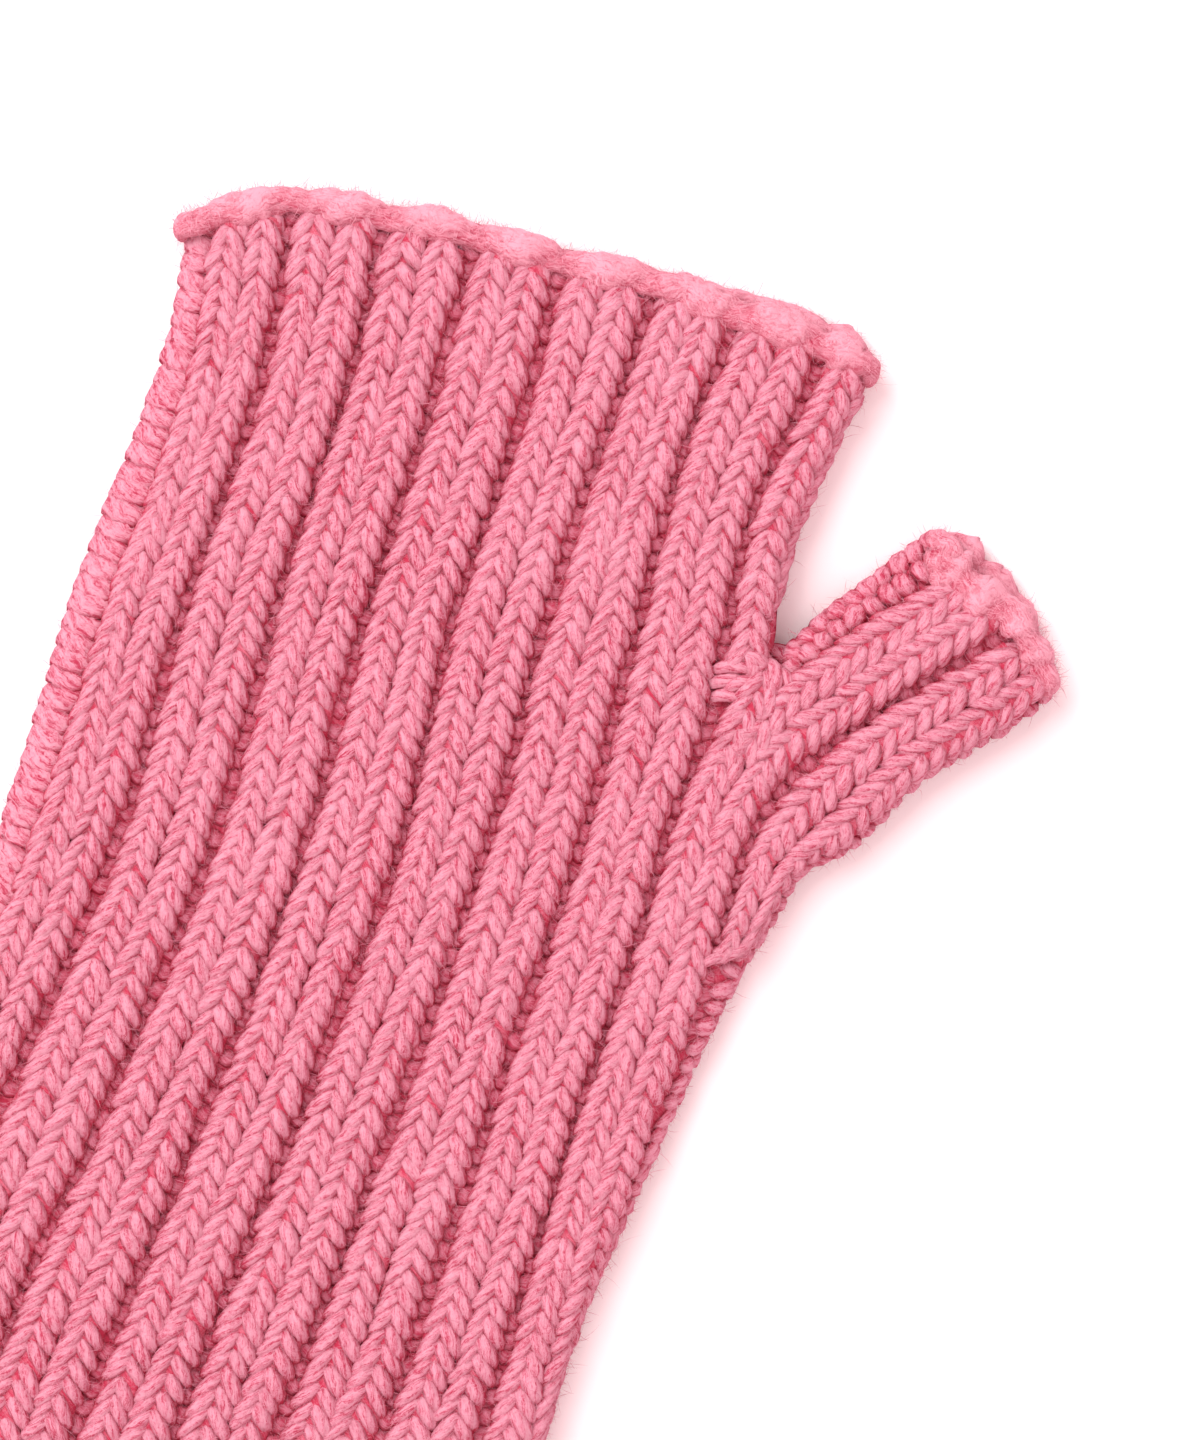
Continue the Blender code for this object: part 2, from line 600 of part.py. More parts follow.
def rolled_edge(name, front, back, lumps, sideways):
    """A soft cord round a mouth: along the front layer, round a fold, back along the other layer.

    front and back are the cord's middle lines in plan, left to right. lumps is the cord's size
    at each of their points, and sideways points out of the mouth. The cross-section is an
    ellipse, flattened where it rests.
    """
    middle_z = 0.5 * (ROLL_FRONT_Z + ROLL_BACK_Z)
    turn = 0.5 * (ROLL_FRONT_Z - ROLL_BACK_Z)
    angles = np.linspace(0, np.pi, TURN_STEPS + 2)[1:-1]

    def half_turn(end, before, rising):
        outwards = (end - before) / np.linalg.norm(end - before)
        heights = np.cos(angles) * (-turn if rising else turn)
        plan = end + np.outer(turn * np.sin(angles), outwards)
        return np.column_stack((plan, middle_z + heights))

    def level(points, z):
        return np.column_stack((points, np.full(len(points), z)))

    right_ends = 0.5 * (front[-2:] + back[-2:])
    left_ends = 0.5 * (front[:2] + back[:2])
    path = np.concatenate((level(front, ROLL_FRONT_Z),
                           half_turn(right_ends[1], right_ends[0], False),
                           level(back[::-1], ROLL_BACK_Z),
                           half_turn(left_ends[0], left_ends[1], True)))
    size = np.concatenate((lumps, np.full(TURN_STEPS, lumps[-1]),
                           lumps[::-1], np.full(TURN_STEPS, lumps[0])))
    run = np.roll(path, -1, axis=0) - np.roll(path, 1, axis=0)
    run /= np.linalg.norm(run, axis=1, keepdims=True)
    side = np.array((*sideways, 0.0))
    side = side - (run @ side)[:, None] * run
    side /= np.linalg.norm(side, axis=1, keepdims=True)
    up = np.cross(run, side)
    around = np.linspace(0, 2 * np.pi, ROLL_SIDES, endpoint=False)
    wide = ROLL_HALF_WIDTH * size
    tall = np.minimum(ROLL_HALF_HEIGHT * size, ROLL_HALF_HEIGHT * 1.04)
    points = (path[:, None] + np.cos(around)[None, :, None] * (wide[:, None] * side)[:, None]
              + np.sin(around)[None, :, None] * (tall[:, None] * up)[:, None])
    points[..., 2] = np.maximum(points[..., 2], 0.0)
    rows = len(path)
    faces = [[i * ROLL_SIDES + k, ((i + 1) % rows) * ROLL_SIDES + k,
              ((i + 1) % rows) * ROLL_SIDES + (k + 1) % ROLL_SIDES,
              i * ROLL_SIDES + (k + 1) % ROLL_SIDES]
             for i in range(rows) for k in range(ROLL_SIDES)]
    return solid(name, points.reshape(-1, 3), faces, CLOTH_COLOURS["rolled_edge"])


def roll_steps(grooves, steps=4):
    """Places along a roll and its size there: smallest at the grooves, largest over the ribs."""
    places = np.concatenate([np.linspace(a, b, steps, endpoint=False)
                             for a, b in zip(grooves[:-1], grooves[1:])] + [grooves[-1:]])
    phase = np.interp(places, grooves, np.arange(len(grooves)))
    size = 1 - ROLL_LUMP * 0.5 * (1 + np.cos(2 * np.pi * phase))
    return places, size


def line_at(line, distance, x):
    """Points of a line set in by distance, at the places x across."""
    moved = set_in(line, distance)
    return np.stack((x, np.interp(x, moved[:, 0], moved[:, 1])), axis=1)


def edges():
    """The three rolled edges."""
    turn = 0.5 * (ROLL_FRONT_Z - ROLL_BACK_Z) + ROLL_HALF_HEIGHT
    at_fingers = [float(section(name, 139.0)) for name in GROOVES]
    grooves = np.array([-63.5 + turn, *at_fingers, 29.6 - turn])
    x, size = roll_steps(grooves)
    rolled_edge("finger_edge", line_at(FINGER_FRONT, ROLL_HALF_WIDTH, x),
                line_at(FINGER_BACK, ROLL_HALF_WIDTH, x), size, (0.0, 1.0))

    at_arm = [float(section(name, ARM_MOUTH_Y)) for name in GROOVES]
    grooves = np.array([ARM_ENDS[0] + turn, *at_arm, ARM_ENDS[1] - turn])
    x, size = roll_steps(grooves)
    level = np.stack((x, np.full(len(x), ARM_LINE_Y + ROLL_HALF_WIDTH)), axis=1)
    rolled_edge("arm_edge", level, level, size, (0.0, 1.0))

    grooves = np.array([-1.6 + turn, 6.2, 12.0, 17.2, 25.3 - turn])
    t, size = roll_steps(grooves)
    front, back = (line_at(line, ROLL_HALF_WIDTH, t) for line in (THUMB_FRONT, THUMB_BACK))
    rolled_edge("thumb_edge", on_thumb(front[:, 1], front[:, 0]),
                on_thumb(back[:, 1], back[:, 0]), size, ALONG)


def main():
    for item in list(bpy.data.objects):
        bpy.data.objects.remove(item)
    folds = fold_lines()
    body_tube(folds)
    thumb_tube(folds)
    edges()


main()
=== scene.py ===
"""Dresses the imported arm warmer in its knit: wool strands, rolled edges and loose fibres.

Plan positions and sizes are in millimetres in the row frame, with +Y along the arm to the fingers
and +X to the thumb's side. put_mesh() turns them into metres.

A wale is a column of knit stitches. Each stitch is two plump strands that part from one point
and slant down and out, the left leg and the right leg. A bump is the purl stitch's short crossways
strand. Both lie on the skin, the smooth form of the layer under its stitches.
"""
import math

import bpy
import numpy as np
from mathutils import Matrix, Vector


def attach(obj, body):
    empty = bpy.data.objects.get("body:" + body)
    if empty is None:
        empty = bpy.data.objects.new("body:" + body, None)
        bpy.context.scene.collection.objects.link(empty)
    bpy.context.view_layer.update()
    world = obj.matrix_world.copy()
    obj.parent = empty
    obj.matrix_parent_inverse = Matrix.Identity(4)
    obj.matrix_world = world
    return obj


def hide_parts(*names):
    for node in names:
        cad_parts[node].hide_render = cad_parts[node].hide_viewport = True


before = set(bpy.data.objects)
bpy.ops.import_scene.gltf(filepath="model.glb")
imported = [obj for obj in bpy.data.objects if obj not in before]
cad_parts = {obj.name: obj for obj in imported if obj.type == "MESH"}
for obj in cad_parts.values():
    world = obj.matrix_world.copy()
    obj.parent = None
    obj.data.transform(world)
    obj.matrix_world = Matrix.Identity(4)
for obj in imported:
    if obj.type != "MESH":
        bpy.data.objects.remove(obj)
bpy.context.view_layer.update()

bl_info = {
    "name": "Ribbed arm warmer",
    "version": (1, 0, 0),
    "blender": (4, 5, 0),
    "location": "3D View > Sidebar > Arm warmer",
    "description": "Knits a ribbed arm warmer with a short thumb over its packed solids",
    "category": "Object",
}

MM = 0.001
TABLE_CLEAR = 0.02      # nothing lies closer to the table than this

# ---------------------------------------------------------------- the plan, as the solids have it

GROOVE_Z = 5.9        # the front layer's height at the grooves between its ribs
RIB_HEIGHT = 1.9      # a rib's crest above its grooves
FOLD_Z = 3.4          # the outermost line of a folded side
FOLD_OVER = 5.5       # width of the rounding above the fold line
FOLD_UNDER = 3.5      # width of the rounding below it
ROLL_HALF_WIDTH = 2.2
ROLL_HALF_HEIGHT = 1.85
ROLL_FRONT_Z = 6.05
ROLL_BACK_Z = 1.8
ROLL_TURN = 0.5 * (ROLL_FRONT_Z - ROLL_BACK_Z)      # radius of a roll's half turns at the folds
SEAM = 0.3            # between the cloth's end and a roll
LAST_RIB = 0.94       # pitch of the rib at the right-hand fold, by its neighbour's
TUCK = 1.2            # how far a point past a fold is brought back in, by how far past it is
DROP = 1.1            # how far it goes down the side, by the same measure
TUCKED_LEAN = np.radians(40)
TUCKED_AT = 2.5       # how far past the fold it has turned by all of that lean
FULL_RIB_AT = 2.5     # how far in from a fold a rib has its full height

# The tube by its height along the arm: the left fold, where the first rib starts, the grooves,
# and the fold of the hand and of the arm
SECTION = ("y", "left", "edge", "g1", "g2", "g3", "g4", "g5", "g6", "g7", "right")
SECTIONS = np.array((
    (-145.5, -64.2, -58.8, -46.9, -34.5, -22.3,  -9.9,   2.4,  14.8,  27.1,  37.7),
    (-60.0,  -63.5, -58.6, -46.6, -34.2, -21.9,  -9.8,   2.5,  14.9,  27.1,  36.6),
    (   4.5, -62.4, -57.8, -45.9, -33.4, -21.0,  -9.4,   2.7,  15.1,  26.9,  35.3),
    (  17.3, -60.6, -56.1, -44.8, -32.1, -20.4,  -9.0,   2.9,  14.6,  26.0,  34.6),
    (  30.0, -58.9, -54.1, -43.9, -31.6, -19.9,  -8.5,   2.9,  14.8,  25.4,  35.2),
    (  42.7, -57.8, -53.0, -42.9, -31.0, -19.4,  -8.4,   2.9,  14.1,  24.8,  36.1),
    (  55.5, -57.8, -53.2, -42.4, -30.8, -19.4,  -7.9,   2.8,  13.9,  24.6,  37.2),
    (  68.2, -58.3, -54.0, -42.9, -31.2, -20.0,  -8.3,   2.4,  13.8,  24.1,  35.7),
    (  81.0, -59.1, -54.5, -44.3, -32.5, -21.3,  -9.8,   1.5,  13.2,  23.3,  34.4),
    (  93.7, -59.1, -54.5, -44.8, -33.6, -22.4, -11.3,  -0.3,  11.7,  23.3,  31.2),
    ( 106.4, -58.6, -54.1, -44.6, -33.9, -23.2, -12.1,  -1.0,  10.4,  21.7,  28.7),
    ( 119.2, -58.9, -55.0, -45.5, -34.6, -23.7, -12.1,  -1.7,   8.9,  19.7,  26.5),
    ( 131.9, -60.9, -58.0, -47.6, -36.1, -24.7, -13.0,  -1.5,   8.5,  20.1,  26.9),
    ( 139.6, -61.4, -59.9, -49.0, -37.1, -25.5, -14.1,  -1.7,   9.2,  20.8,  28.0)))
GROOVES = ("g1", "g2", "g3", "g4", "g5", "g6", "g7")

# The gusset's rows fan out from level at its base to the thumb's slanted seam
GUSSET = ("inner_x", "inner_y", "groove_x", "groove_y", "fold_x", "fold_y")
GUSSET_ROWS = np.array((
    (24.6,  55.5, 34.8,  55.5, 37.2,  55.5),
    (24.1,  68.2, 34.1,  68.2, 39.0,  68.2),
    (23.7,  74.6, 33.8,  74.6, 40.3,  74.6),
    (23.3,  81.0, 33.6,  81.3, 41.7,  81.8),
    (23.7,  88.6, 34.3,  88.0, 45.6,  85.4),
    (24.9,  98.0, 36.7,  94.2, 48.1,  89.6),
    (30.6, 105.1, 39.7,  99.1, 49.4,  92.6)))

# The thumb by its height above the seam, measured across from the crotch
CROTCH = np.array((28.7, 106.4))
THUMB_LEAN = np.radians(56.4)
THUMB = ("s", "upper", "inner", "groove", "lower")
THUMB_ROWS = np.array((
    ( 0.0,  0.0, 4.4, 13.6, 24.9),
    ( 5.7, -1.3, 4.6, 14.0, 24.0),
    (10.2, -1.6, 4.9, 14.7, 24.6),
    (15.0, -1.6, 5.4, 15.6, 25.0),
    (20.1, -1.8, 6.0, 16.6, 25.5),
    (27.0, -1.7, 6.4, 17.4, 25.2)))

# The thumb's first rib by its height above the seam: the two edges of its pitch
THUMB_RIB = ("s", "inner", "groove")
THUMB_RIB_ROWS = np.array((
    ( 0.0, 2.3, 13.2),
    ( 6.0, 2.4, 13.3),
    (10.0, 2.5, 13.5),
    (16.0, 3.0, 13.9),
    (22.0, 3.5, 14.5),
    (27.0, 3.9, 14.9)))

# Outer line of each rolled edge from left to right, how far the front layer's roll stays behind,
# and where the rolls' half turns end at the folds
FINGER_LINE = np.array((
    (-62.0, 134.8), (-52.2, 141.2), (-39.5, 144.2), (-25.5, 146.2), (-14.0, 146.9),
    ( -2.5, 148.4), (  8.0, 149.5), ( 16.6, 150.0), ( 24.0, 149.3), ( 28.6, 147.4)))
FINGER_PEEK = ((-62.0, 0.0), (0.0, 0.0), (6.0, 1.2), (24.0, 1.2), (28.6, 0.6))
THUMB_LINE = np.array((
    (-1.2, 28.2), (4.0, 30.1), (10.8, 30.9), (17.0, 30.0), (24.8, 27.8)))
THUMB_PEEK = ((-1.2, 0.4), (4.0, 2.4), (8.0, 2.2), (12.0, 1.2), (17.0, 0.6), (24.8, 0.0))
ARM_LINE_Y = -150.0
ARM_ENDS = (-64.3, 37.9)
FINGER_ENDS = (-63.5, 29.6)
THUMB_ENDS = (-1.6, 25.3)
FINGER_MOUTH_Y = 139.0      # about where the cloth ends at the fingers
HAND_FOLD_END = 150.0       # the fold lines run on past the openings, to here on the hand
THUMB_FOLD_END = 34.0       # and to here above the thumb's seam
THUMB_WALE_END = 27.0       # the thumb's stitches are laid out to here above it
GUSSET_BASE_Y = 55.5
ARM_MOUTH_Y = ARM_LINE_Y + 2 * ROLL_HALF_WIDTH + SEAM
ALONG = np.array((np.cos(THUMB_LEAN), np.sin(THUMB_LEAN)))
ACROSS = np.array((np.sin(THUMB_LEAN), -np.cos(THUMB_LEAN)))

# ------------------------------------------------------------------------------- the knit's sizes

WALE_MIDDLES = (0.288, 0.712)   # a rib's two wales, by place across its pitch
WALE_REACH = 0.212              # from a wale's middle to its edge, by the same measure
RIB_DOME = 0.52                 # how much lower a rib's outer edges are than its middle
INNER_LIFT = 0.3                # share by which legs sink less between a rib's two wales
APEX = -0.22                    # where the legs of a stitch part, by place across the wale
HAND_WALES_START = (0.0, 9.0)   # how far above the crotch the hand's last two wales start
GUSSET_WALES_START = (1.1, 1.3)     # the gusset's rows where the thumb side's two wales start

# A leg from its point to its outer end: place across the wale, where 1 is its edge, place along
# the leg, height over the rib's crest in millimetres, and share of the full thickness. The yarn's
# twist sets the left legs steep and the right legs broad, in an arch.
RIGHT_LEG = np.array((
    (-0.28, 0.00, -0.95, 0.80),
    ( 0.02, 0.14, -0.28, 1.00),
    ( 0.30, 0.36,  0.00, 1.04),
    ( 0.58, 0.60, -0.05, 1.02),
    ( 0.84, 0.84, -0.48, 0.90),
    ( 1.00, 1.04, -1.30, 0.62)))
LEFT_LEG = np.array((
    (-0.10, 0.00, -1.00, 0.78),
    (-0.31, 0.15, -0.34, 0.96),
    (-0.50, 0.38, -0.06, 1.02),
    (-0.70, 0.62, -0.10, 1.00),
    (-0.88, 0.85, -0.50, 0.88),
    (-1.00, 1.02, -1.25, 0.62)))
BACK_STEPS = [0, 2, 3, 5]       # the rings that a leg of the hidden underside keeps
BACK_RISE = 0.75                # height of those legs' rings, by the front's
BACK_FOLD_CLEAR = 0.4           # how far in from a fold those legs start
LEG_START = 0.35                # how far above its row's line a leg starts
UNDER_ROLL = 3.2                # how far the stitches run on under the rolled edges
THUMB_SHORT = 0.5               # how much less far they do so on the thumb
SINK_RUN = 3.0                  # how far in from there they rise to their full height
LEG_RUN_ON = 4.4                # how far in the arm's first legs start, as they slant down
BUMP_RUN_ON = 3.0               # the same for its first bumps
TIP = 0.6                       # how far a strand's pointed end reaches, by its half width there
SLIMMEST = 0.6                  # share of a strand's thickness in the narrowest wale
PLUMP = {"left": 1.06, "right": 1.18}   # a leg's width, by the strand's thickness
LEG_HALF_HEIGHT = 0.44                  # by the same measure

# How much stitches differ at unevenness 1, as standard deviations: their place along the wale
# and its slow drift, their length, lean, drift across, height and size
SPREAD = {"row": 0.13, "row_drift": 0.28, "length": 0.10, "lean": 0.08, "drift": 0.09,
          "height": 0.10, "size": 0.08}
BUMP_SPREAD = {"slant": 0.3, "height": 0.1, "size": 0.10}
LONGEST_LEG_STEP = 2.4          # a longer one jumps from one fold to another
LONGEST_BUMP_STEP = 3.4

# The pressed wool inside a wale: its step along the wale, how far it lies below the rib's crest,
# how deep and wide its furrow is where the legs part, and how far it falls at the wale's edges
CORE_STEP = 2.0
CORE_ENDS = 2.0     # how far it runs on under the rolled edges
CORE_RUN_ON = 1.0   # how far in it starts at the arm
CORE_SUNK = 0.85
CORE_NOTCH = 0.35
CORE_NOTCH_WIDTH = 0.2
CORE_FALL = 0.9

# Where the arm's rib meets the thumb: its first wale leaves the gusset's row and ends in the
# crotch, the thumb's first wale starts under it, and a few strands are picked up between them
CROTCH_WALE_ROW = 2.9
CROTCH_WALE = np.array((
    (26.1, 83.0), (26.0, 87.0), (26.4, 91.0), (27.1, 95.5), (27.7, 100.0), (28.0, 104.3)))
CROTCH_WALE_REACH = 2.15
THUMB_WALE_START = np.array(((28.9, 92.8), (29.8, 96.1), (31.0, 98.9), (32.2, 101.7)))
PICK_UP = ("from_x", "from_y", "to_x", "to_y", "bow", "lift")
PICK_UPS = np.array((
    (21.6, 101.9, 26.4, 103.6,  0.7, -0.4),
    (21.8, 100.1, 25.4, 102.2,  0.3, -0.6),
    (23.9, 100.1, 27.0, 102.4,  0.5, -0.3),
    (22.6,  98.6, 26.2,  99.6,  0.6, -0.7),
    (24.2, 104.9, 27.8, 104.4,  0.6, -0.1),
    (27.4, 105.2, 29.9, 102.2,  0.7,  0.1),
    (29.2, 104.6, 31.6, 103.0,  0.5, -0.5),
    (28.6, 102.6, 29.9,  98.6,  0.5,  0.0)))
PICK_UP_RISE = 0.9      # height of a picked-up strand's middle over the skin
PICK_UP_DIP = 1.3       # how much lower its ends are

# A bump from end to end: place across, share of its sag, height and share of thickness
BUMP_RINGS = np.array((
    (-1.00, -1.2, -0.60, 0.60),
    (-0.55,  0.4, -0.10, 0.95),
    ( 0.00,  1.0,  0.05, 1.00),
    ( 0.55,  0.4, -0.10, 0.95),
    ( 1.00, -1.2, -0.60, 0.60)))

# The purl columns: the deep ones' half width, each fold's places and reaches by the gap between
# its two lines, and the places on the thumb's upper side with where they start above the seam
GROOVE_HALF_WIDTH = 1.35
LEFT_FOLD_BUMPS = ((-0.72, 0.44), (0.50, 0.82))
RIGHT_FOLD_BUMPS = ((0.66, 0.36), (1.25, 0.36))
GUSSET_FOLD_BUMPS = (1.03, 0.13)
THUMB_BUMPS = ((-0.50, 3.0), (0.12, 0.5), (0.76, -2.0))
THUMB_BUMP_REACH = 0.33
FIRST_GUSSET_ROWS = 1.5         # the gusset's rows beside which the arm's fold columns go on

# The purl bumps of each place: how far the right end lies towards the fingers, the middle's sag
# towards the arm and the height over the skin, in millimetres, then half width and half
# thickness by the strand's, how far they turn at random, and how much painted shade their wool gets
BUMP_LOOK = ("slant", "sag", "lift", "wide", "tall", "turn", "pressed")
BUMP_LOOKS = {
    "groove": (0.0, 0.38, -0.35, 0.74, 0.32, 0.30, 0.50),
    "left":   (0.0, 0.50,  0.05, 1.02, 0.25, 0.35, 0.25),
    "right":  (1.0, 0.10,  0.05, 0.66, 0.38, 0.35, 0.30),
    "thumb":  (0.3, 0.30,  0.05, 0.88, 0.32, 0.60, 0.45)}

# Loose fibres: shortest and longest, and least and most lift out of the wool, in millimetres
FIBRES = {
    "rib_fibres":    ((0.6, 1.8), (0.00, 0.35)),
    "groove_fibres": ((1.2, 3.2), (0.10, 0.50)),
    "edge_fibres":   ((0.8, 2.6), (0.05, 0.35))}

# --------------------------------------------------------------------------------------- settings


def linear(hex_colour):
    """An sRGB hex colour as linear red, green and blue."""
    channels = [int(hex_colour[i:i + 2], 16) / 255 for i in (1, 3, 5)]
    return tuple(c / 12.92 if c <= 0.04045 else ((c + 0.055) / 1.055) ** 2.4 for c in channels)


def size_value(name, default, description, least=0.00001):
    """A size in metres for a property group."""
    return bpy.props.FloatProperty(name=name, description=description, default=default,
                                   min=least, unit="LENGTH")


def count_value(name, default, description):
    """A number of things for a property group."""
    return bpy.props.IntProperty(name=name, description=description, default=default, min=0)


def colour_value(name, hex_colour, description):
    """A colour for a property group, from its sRGB hex."""
    return bpy.props.FloatVectorProperty(name=name, description=description,
                                         default=linear(hex_colour), size=3, subtype="COLOR")


class KnitSizes(bpy.types.PropertyGroup):
    """Sizes of the wool and its stitches."""
    row_pitch: size_value("Row pitch", 0.00255, "Height of one knitted row", 0.001)
    strand: size_value("Strand", 0.00180, "Thickness of a leg of a stitch at its plumpest", 0.0005)
    left_leg: size_value("Left leg", 0.0048, "How far a left leg runs down its wale", 0.001)
    right_leg: size_value("Right leg", 0.0032, "How far a right leg runs down its wale", 0.001)
    unevenness: bpy.props.FloatProperty(
        name="Unevenness", description="How much the stitches differ from one another",
        default=1.0, min=0.0, max=3.0, subtype="FACTOR")
    rib_fibres: count_value("Rib fibres", 180000, "Loose fibres that stand out of the stitches")
    groove_fibres: count_value("Groove fibres", 30000,
                               "Long fibres that cross the grooves and crevices")
    edge_fibres: count_value("Edge fibres", 20000, "Loose fibres on the rolled edges")
    fibre: size_value("Fibre", 0.00005, "Width of a loose fibre")


class WoolColours(bpy.types.PropertyGroup):
    """Colours of the wool, from the lit crown of a strand to the gap between two, partly painted
    shade.
    """
    # crown, flank and crevice are the wool's own pale and dark fibres, and also painted shade:
    # strands are painted darker down their sides and into the crevices
    light: colour_value("Crown", "#D79CAD", "Wool on the crown of a strand")
    middle: colour_value("Flank", "#CE8498", "Wool on the side of a strand")
    deep: colour_value("Crevice", "#B03C56", "Pressed wool between plies and fibres")
    # gap is painted light: the red of light seen through the wool, painted into the shaded gaps
    gap: colour_value("Gap", "#C23A54", "Wool deep between the strands, lit through its neighbours")
    felt: colour_value("Felted edge", "#E3A3B4", "Brushed-up wool of the rolled edges")
    halo: colour_value("Loose fibre", "#E2A3B3", "Single fibres that catch the light")


class StudioSettings(bpy.types.PropertyGroup):
    """The table, the lights and the camera."""
    view_height: size_value("View height", 0.18344, "Height of the framed area at the garment",
                            0.01)
    view_centre: bpy.props.FloatVectorProperty(
        name="View centre", description="The point that the camera looks down at",
        default=(0.01019, 0.09115, 0.006), size=3, unit="LENGTH")
    view_turn: bpy.props.FloatProperty(
        name="View turn", description="How far the camera is turned over the garment",
        default=math.radians(20), unit="ROTATION")
    lens: bpy.props.FloatProperty(
        name="Lens", description="Focal length in millimetres", default=120.0, min=20.0)
    table: colour_value("Table", "#FAFAFA", "Colour of the plain table top")


# ----------------------------------------------------------------------------- lines of the plan

def curve(knots, values, at):
    """A smooth cubic through values at the rising knots, with each slope from its neighbours."""
    knots, values, at = np.asarray(knots, float), np.asarray(values, float), np.asarray(at, float)
    slopes = np.gradient(values, knots)
    i = np.clip(np.searchsorted(knots, at) - 1, 0, len(knots) - 2)
    width = knots[i + 1] - knots[i]
    t = np.clip((at - knots[i]) / width, 0.0, 1.0)
    rise = values[i + 1] - values[i]
    ease = (3 - 2 * t) * t * t
    bend = t * (1 - t) * width * (slopes[i] * (1 - t) - slopes[i + 1] * t)
    return values[i] + rise * ease + bend


def unit(vectors):
    """The same vectors with length one."""
    return vectors / np.linalg.norm(vectors, axis=-1, keepdims=True)


def right_of(line):
    """The way to the right of a plan line's own direction, at each of its points."""
    run = unit(np.gradient(line, axis=0))
    return np.stack((run[:, 1], -run[:, 0]), axis=1)


def section(name, y):
    """Where a line of the tube lies across the arm at height y."""
    return curve(SECTIONS[:, 0], SECTIONS[:, SECTION.index(name)], y)


def tube_line(name, y):
    """The plan points of a line of the tube at the heights y."""
    return np.stack((section(name, y), y), axis=1)


def gusset(name, row):
    """The point of one gusset line on a row, which may lie between two rows of the table."""
    column = GUSSET.index(name + "_x")
    rows = np.arange(len(GUSSET_ROWS))
    return np.stack([curve(rows, GUSSET_ROWS[:, column + k], row) for k in (0, 1)], axis=-1)


def thumb(name, s):
    """How far across from the crotch a line of the thumb lies, at s above the seam."""
    return curve(THUMB_ROWS[:, 0], THUMB_ROWS[:, THUMB.index(name)], s)


def thumb_rib(name, s):
    """How far across from the crotch an edge of the thumb's first rib lies."""
    return curve(THUMB_RIB_ROWS[:, 0], THUMB_RIB_ROWS[:, THUMB_RIB.index(name)], s)


def on_thumb(s, t):
    """The plan point at s along the thumb and t across it."""
    s, t = np.broadcast_arrays(np.asarray(s, float), np.asarray(t, float))
    return CROTCH + s[..., None] * ALONG + t[..., None] * ACROSS


def across_tube(plan):
    """How far across the tube plan points lie."""
    return plan[..., 0]


def across_thumb(plan):
    """How far across the thumb, from the crotch, plan points lie."""
    return (plan - CROTCH) @ ACROSS


def set_in(line, distance):
    """A line moved sideways, to the right of its own direction."""
    return line + distance * right_of(line)


def edge_line(table, peek, count=60):
    """The outer line of a rolled edge on the back and on the front layer, closely stepped."""
    x = np.linspace(table[0, 0], table[-1, 0], count)
    back = np.stack((x, curve(table[:, 0], table[:, 1], x)), axis=1)
    lag = np.interp(x, [p[0] for p in peek], [p[1] for p in peek])
    return back, back - np.stack((np.zeros(count), lag), axis=1)


FINGER_BACK, FINGER_FRONT = edge_line(FINGER_LINE, FINGER_PEEK)
THUMB_BACK, THUMB_FRONT = edge_line(THUMB_LINE, THUMB_PEEK)


def mouth_at(line, x):
    """Height of the cloth's end under a rolled edge, at x across."""
    cut = set_in(line, 2 * ROLL_HALF_WIDTH + SEAM)
    return np.interp(x, cut[:, 0], cut[:, 1])


def fold_lines():
    """The left fold, the fold from hand to thumb, and the one from thumb to arm.

    The cloth lies on the right of each line's own direction.
    """
    y = np.linspace(ARM_LINE_Y, HAND_FOLD_END, 90)
    down_hand = np.linspace(HAND_FOLD_END, CROTCH[1], 14)
    up_thumb = np.linspace(0.0, THUMB_FOLD_END, 12)
    hand = np.concatenate((tube_line("right", down_hand),
                           on_thumb(up_thumb, thumb("upper", up_thumb))))
    rows = np.linspace(len(GUSSET_ROWS) - 1, 0, 20)[1:]
    arm = np.linspace(GUSSET_BASE_Y, ARM_LINE_Y, 40)[1:]
    outer = np.concatenate((on_thumb(up_thumb[::-1], thumb("lower", up_thumb[::-1])),
                            gusset("fold", rows), tube_line("right", arm)))
    return tube_line("left", y), hand, outer


FOLDS = fold_lines()


def from_fold(plan):
    """How far each plan point lies in from the nearest fold, and the way in from there."""
    nearest = np.full(len(plan), np.inf)
    gap = np.zeros(len(plan))
    inwards = np.zeros((len(plan), 2))
    for line in FOLDS:
        run = np.diff(line, axis=0)
        real = (run * run).sum(-1) > 1e-9
        start, run = line[:-1][real], run[real]
        offset = plan[:, None] - start[None]
        share = np.clip((offset * run).sum(-1) / (run * run).sum(-1), 0, 1)
        offset -= share[..., None] * run
        away = np.linalg.norm(offset, axis=-1)
        normal = unit(np.stack((run[:, 1], -run[:, 0]), axis=1))
        # at a corner of the line both its steps are as near, and the squarer one tells the side
        best = (away - 1e-4 * np.abs((offset * normal).sum(-1))).argmin(axis=1)
        pick = np.arange(len(plan)), best
        offset, away, normal = offset[pick], away[pick], normal[best]
        side = np.where((offset * normal).sum(-1) < 0, -1, 1)
        way = unit(np.where(away[:, None] > 0.05, offset * side[:, None], normal))
        closer = away < nearest
        nearest = np.where(closer, away, nearest)
        gap = np.where(closer, side * away, gap)
        inwards[closer] = way[closer]
    return gap, inwards


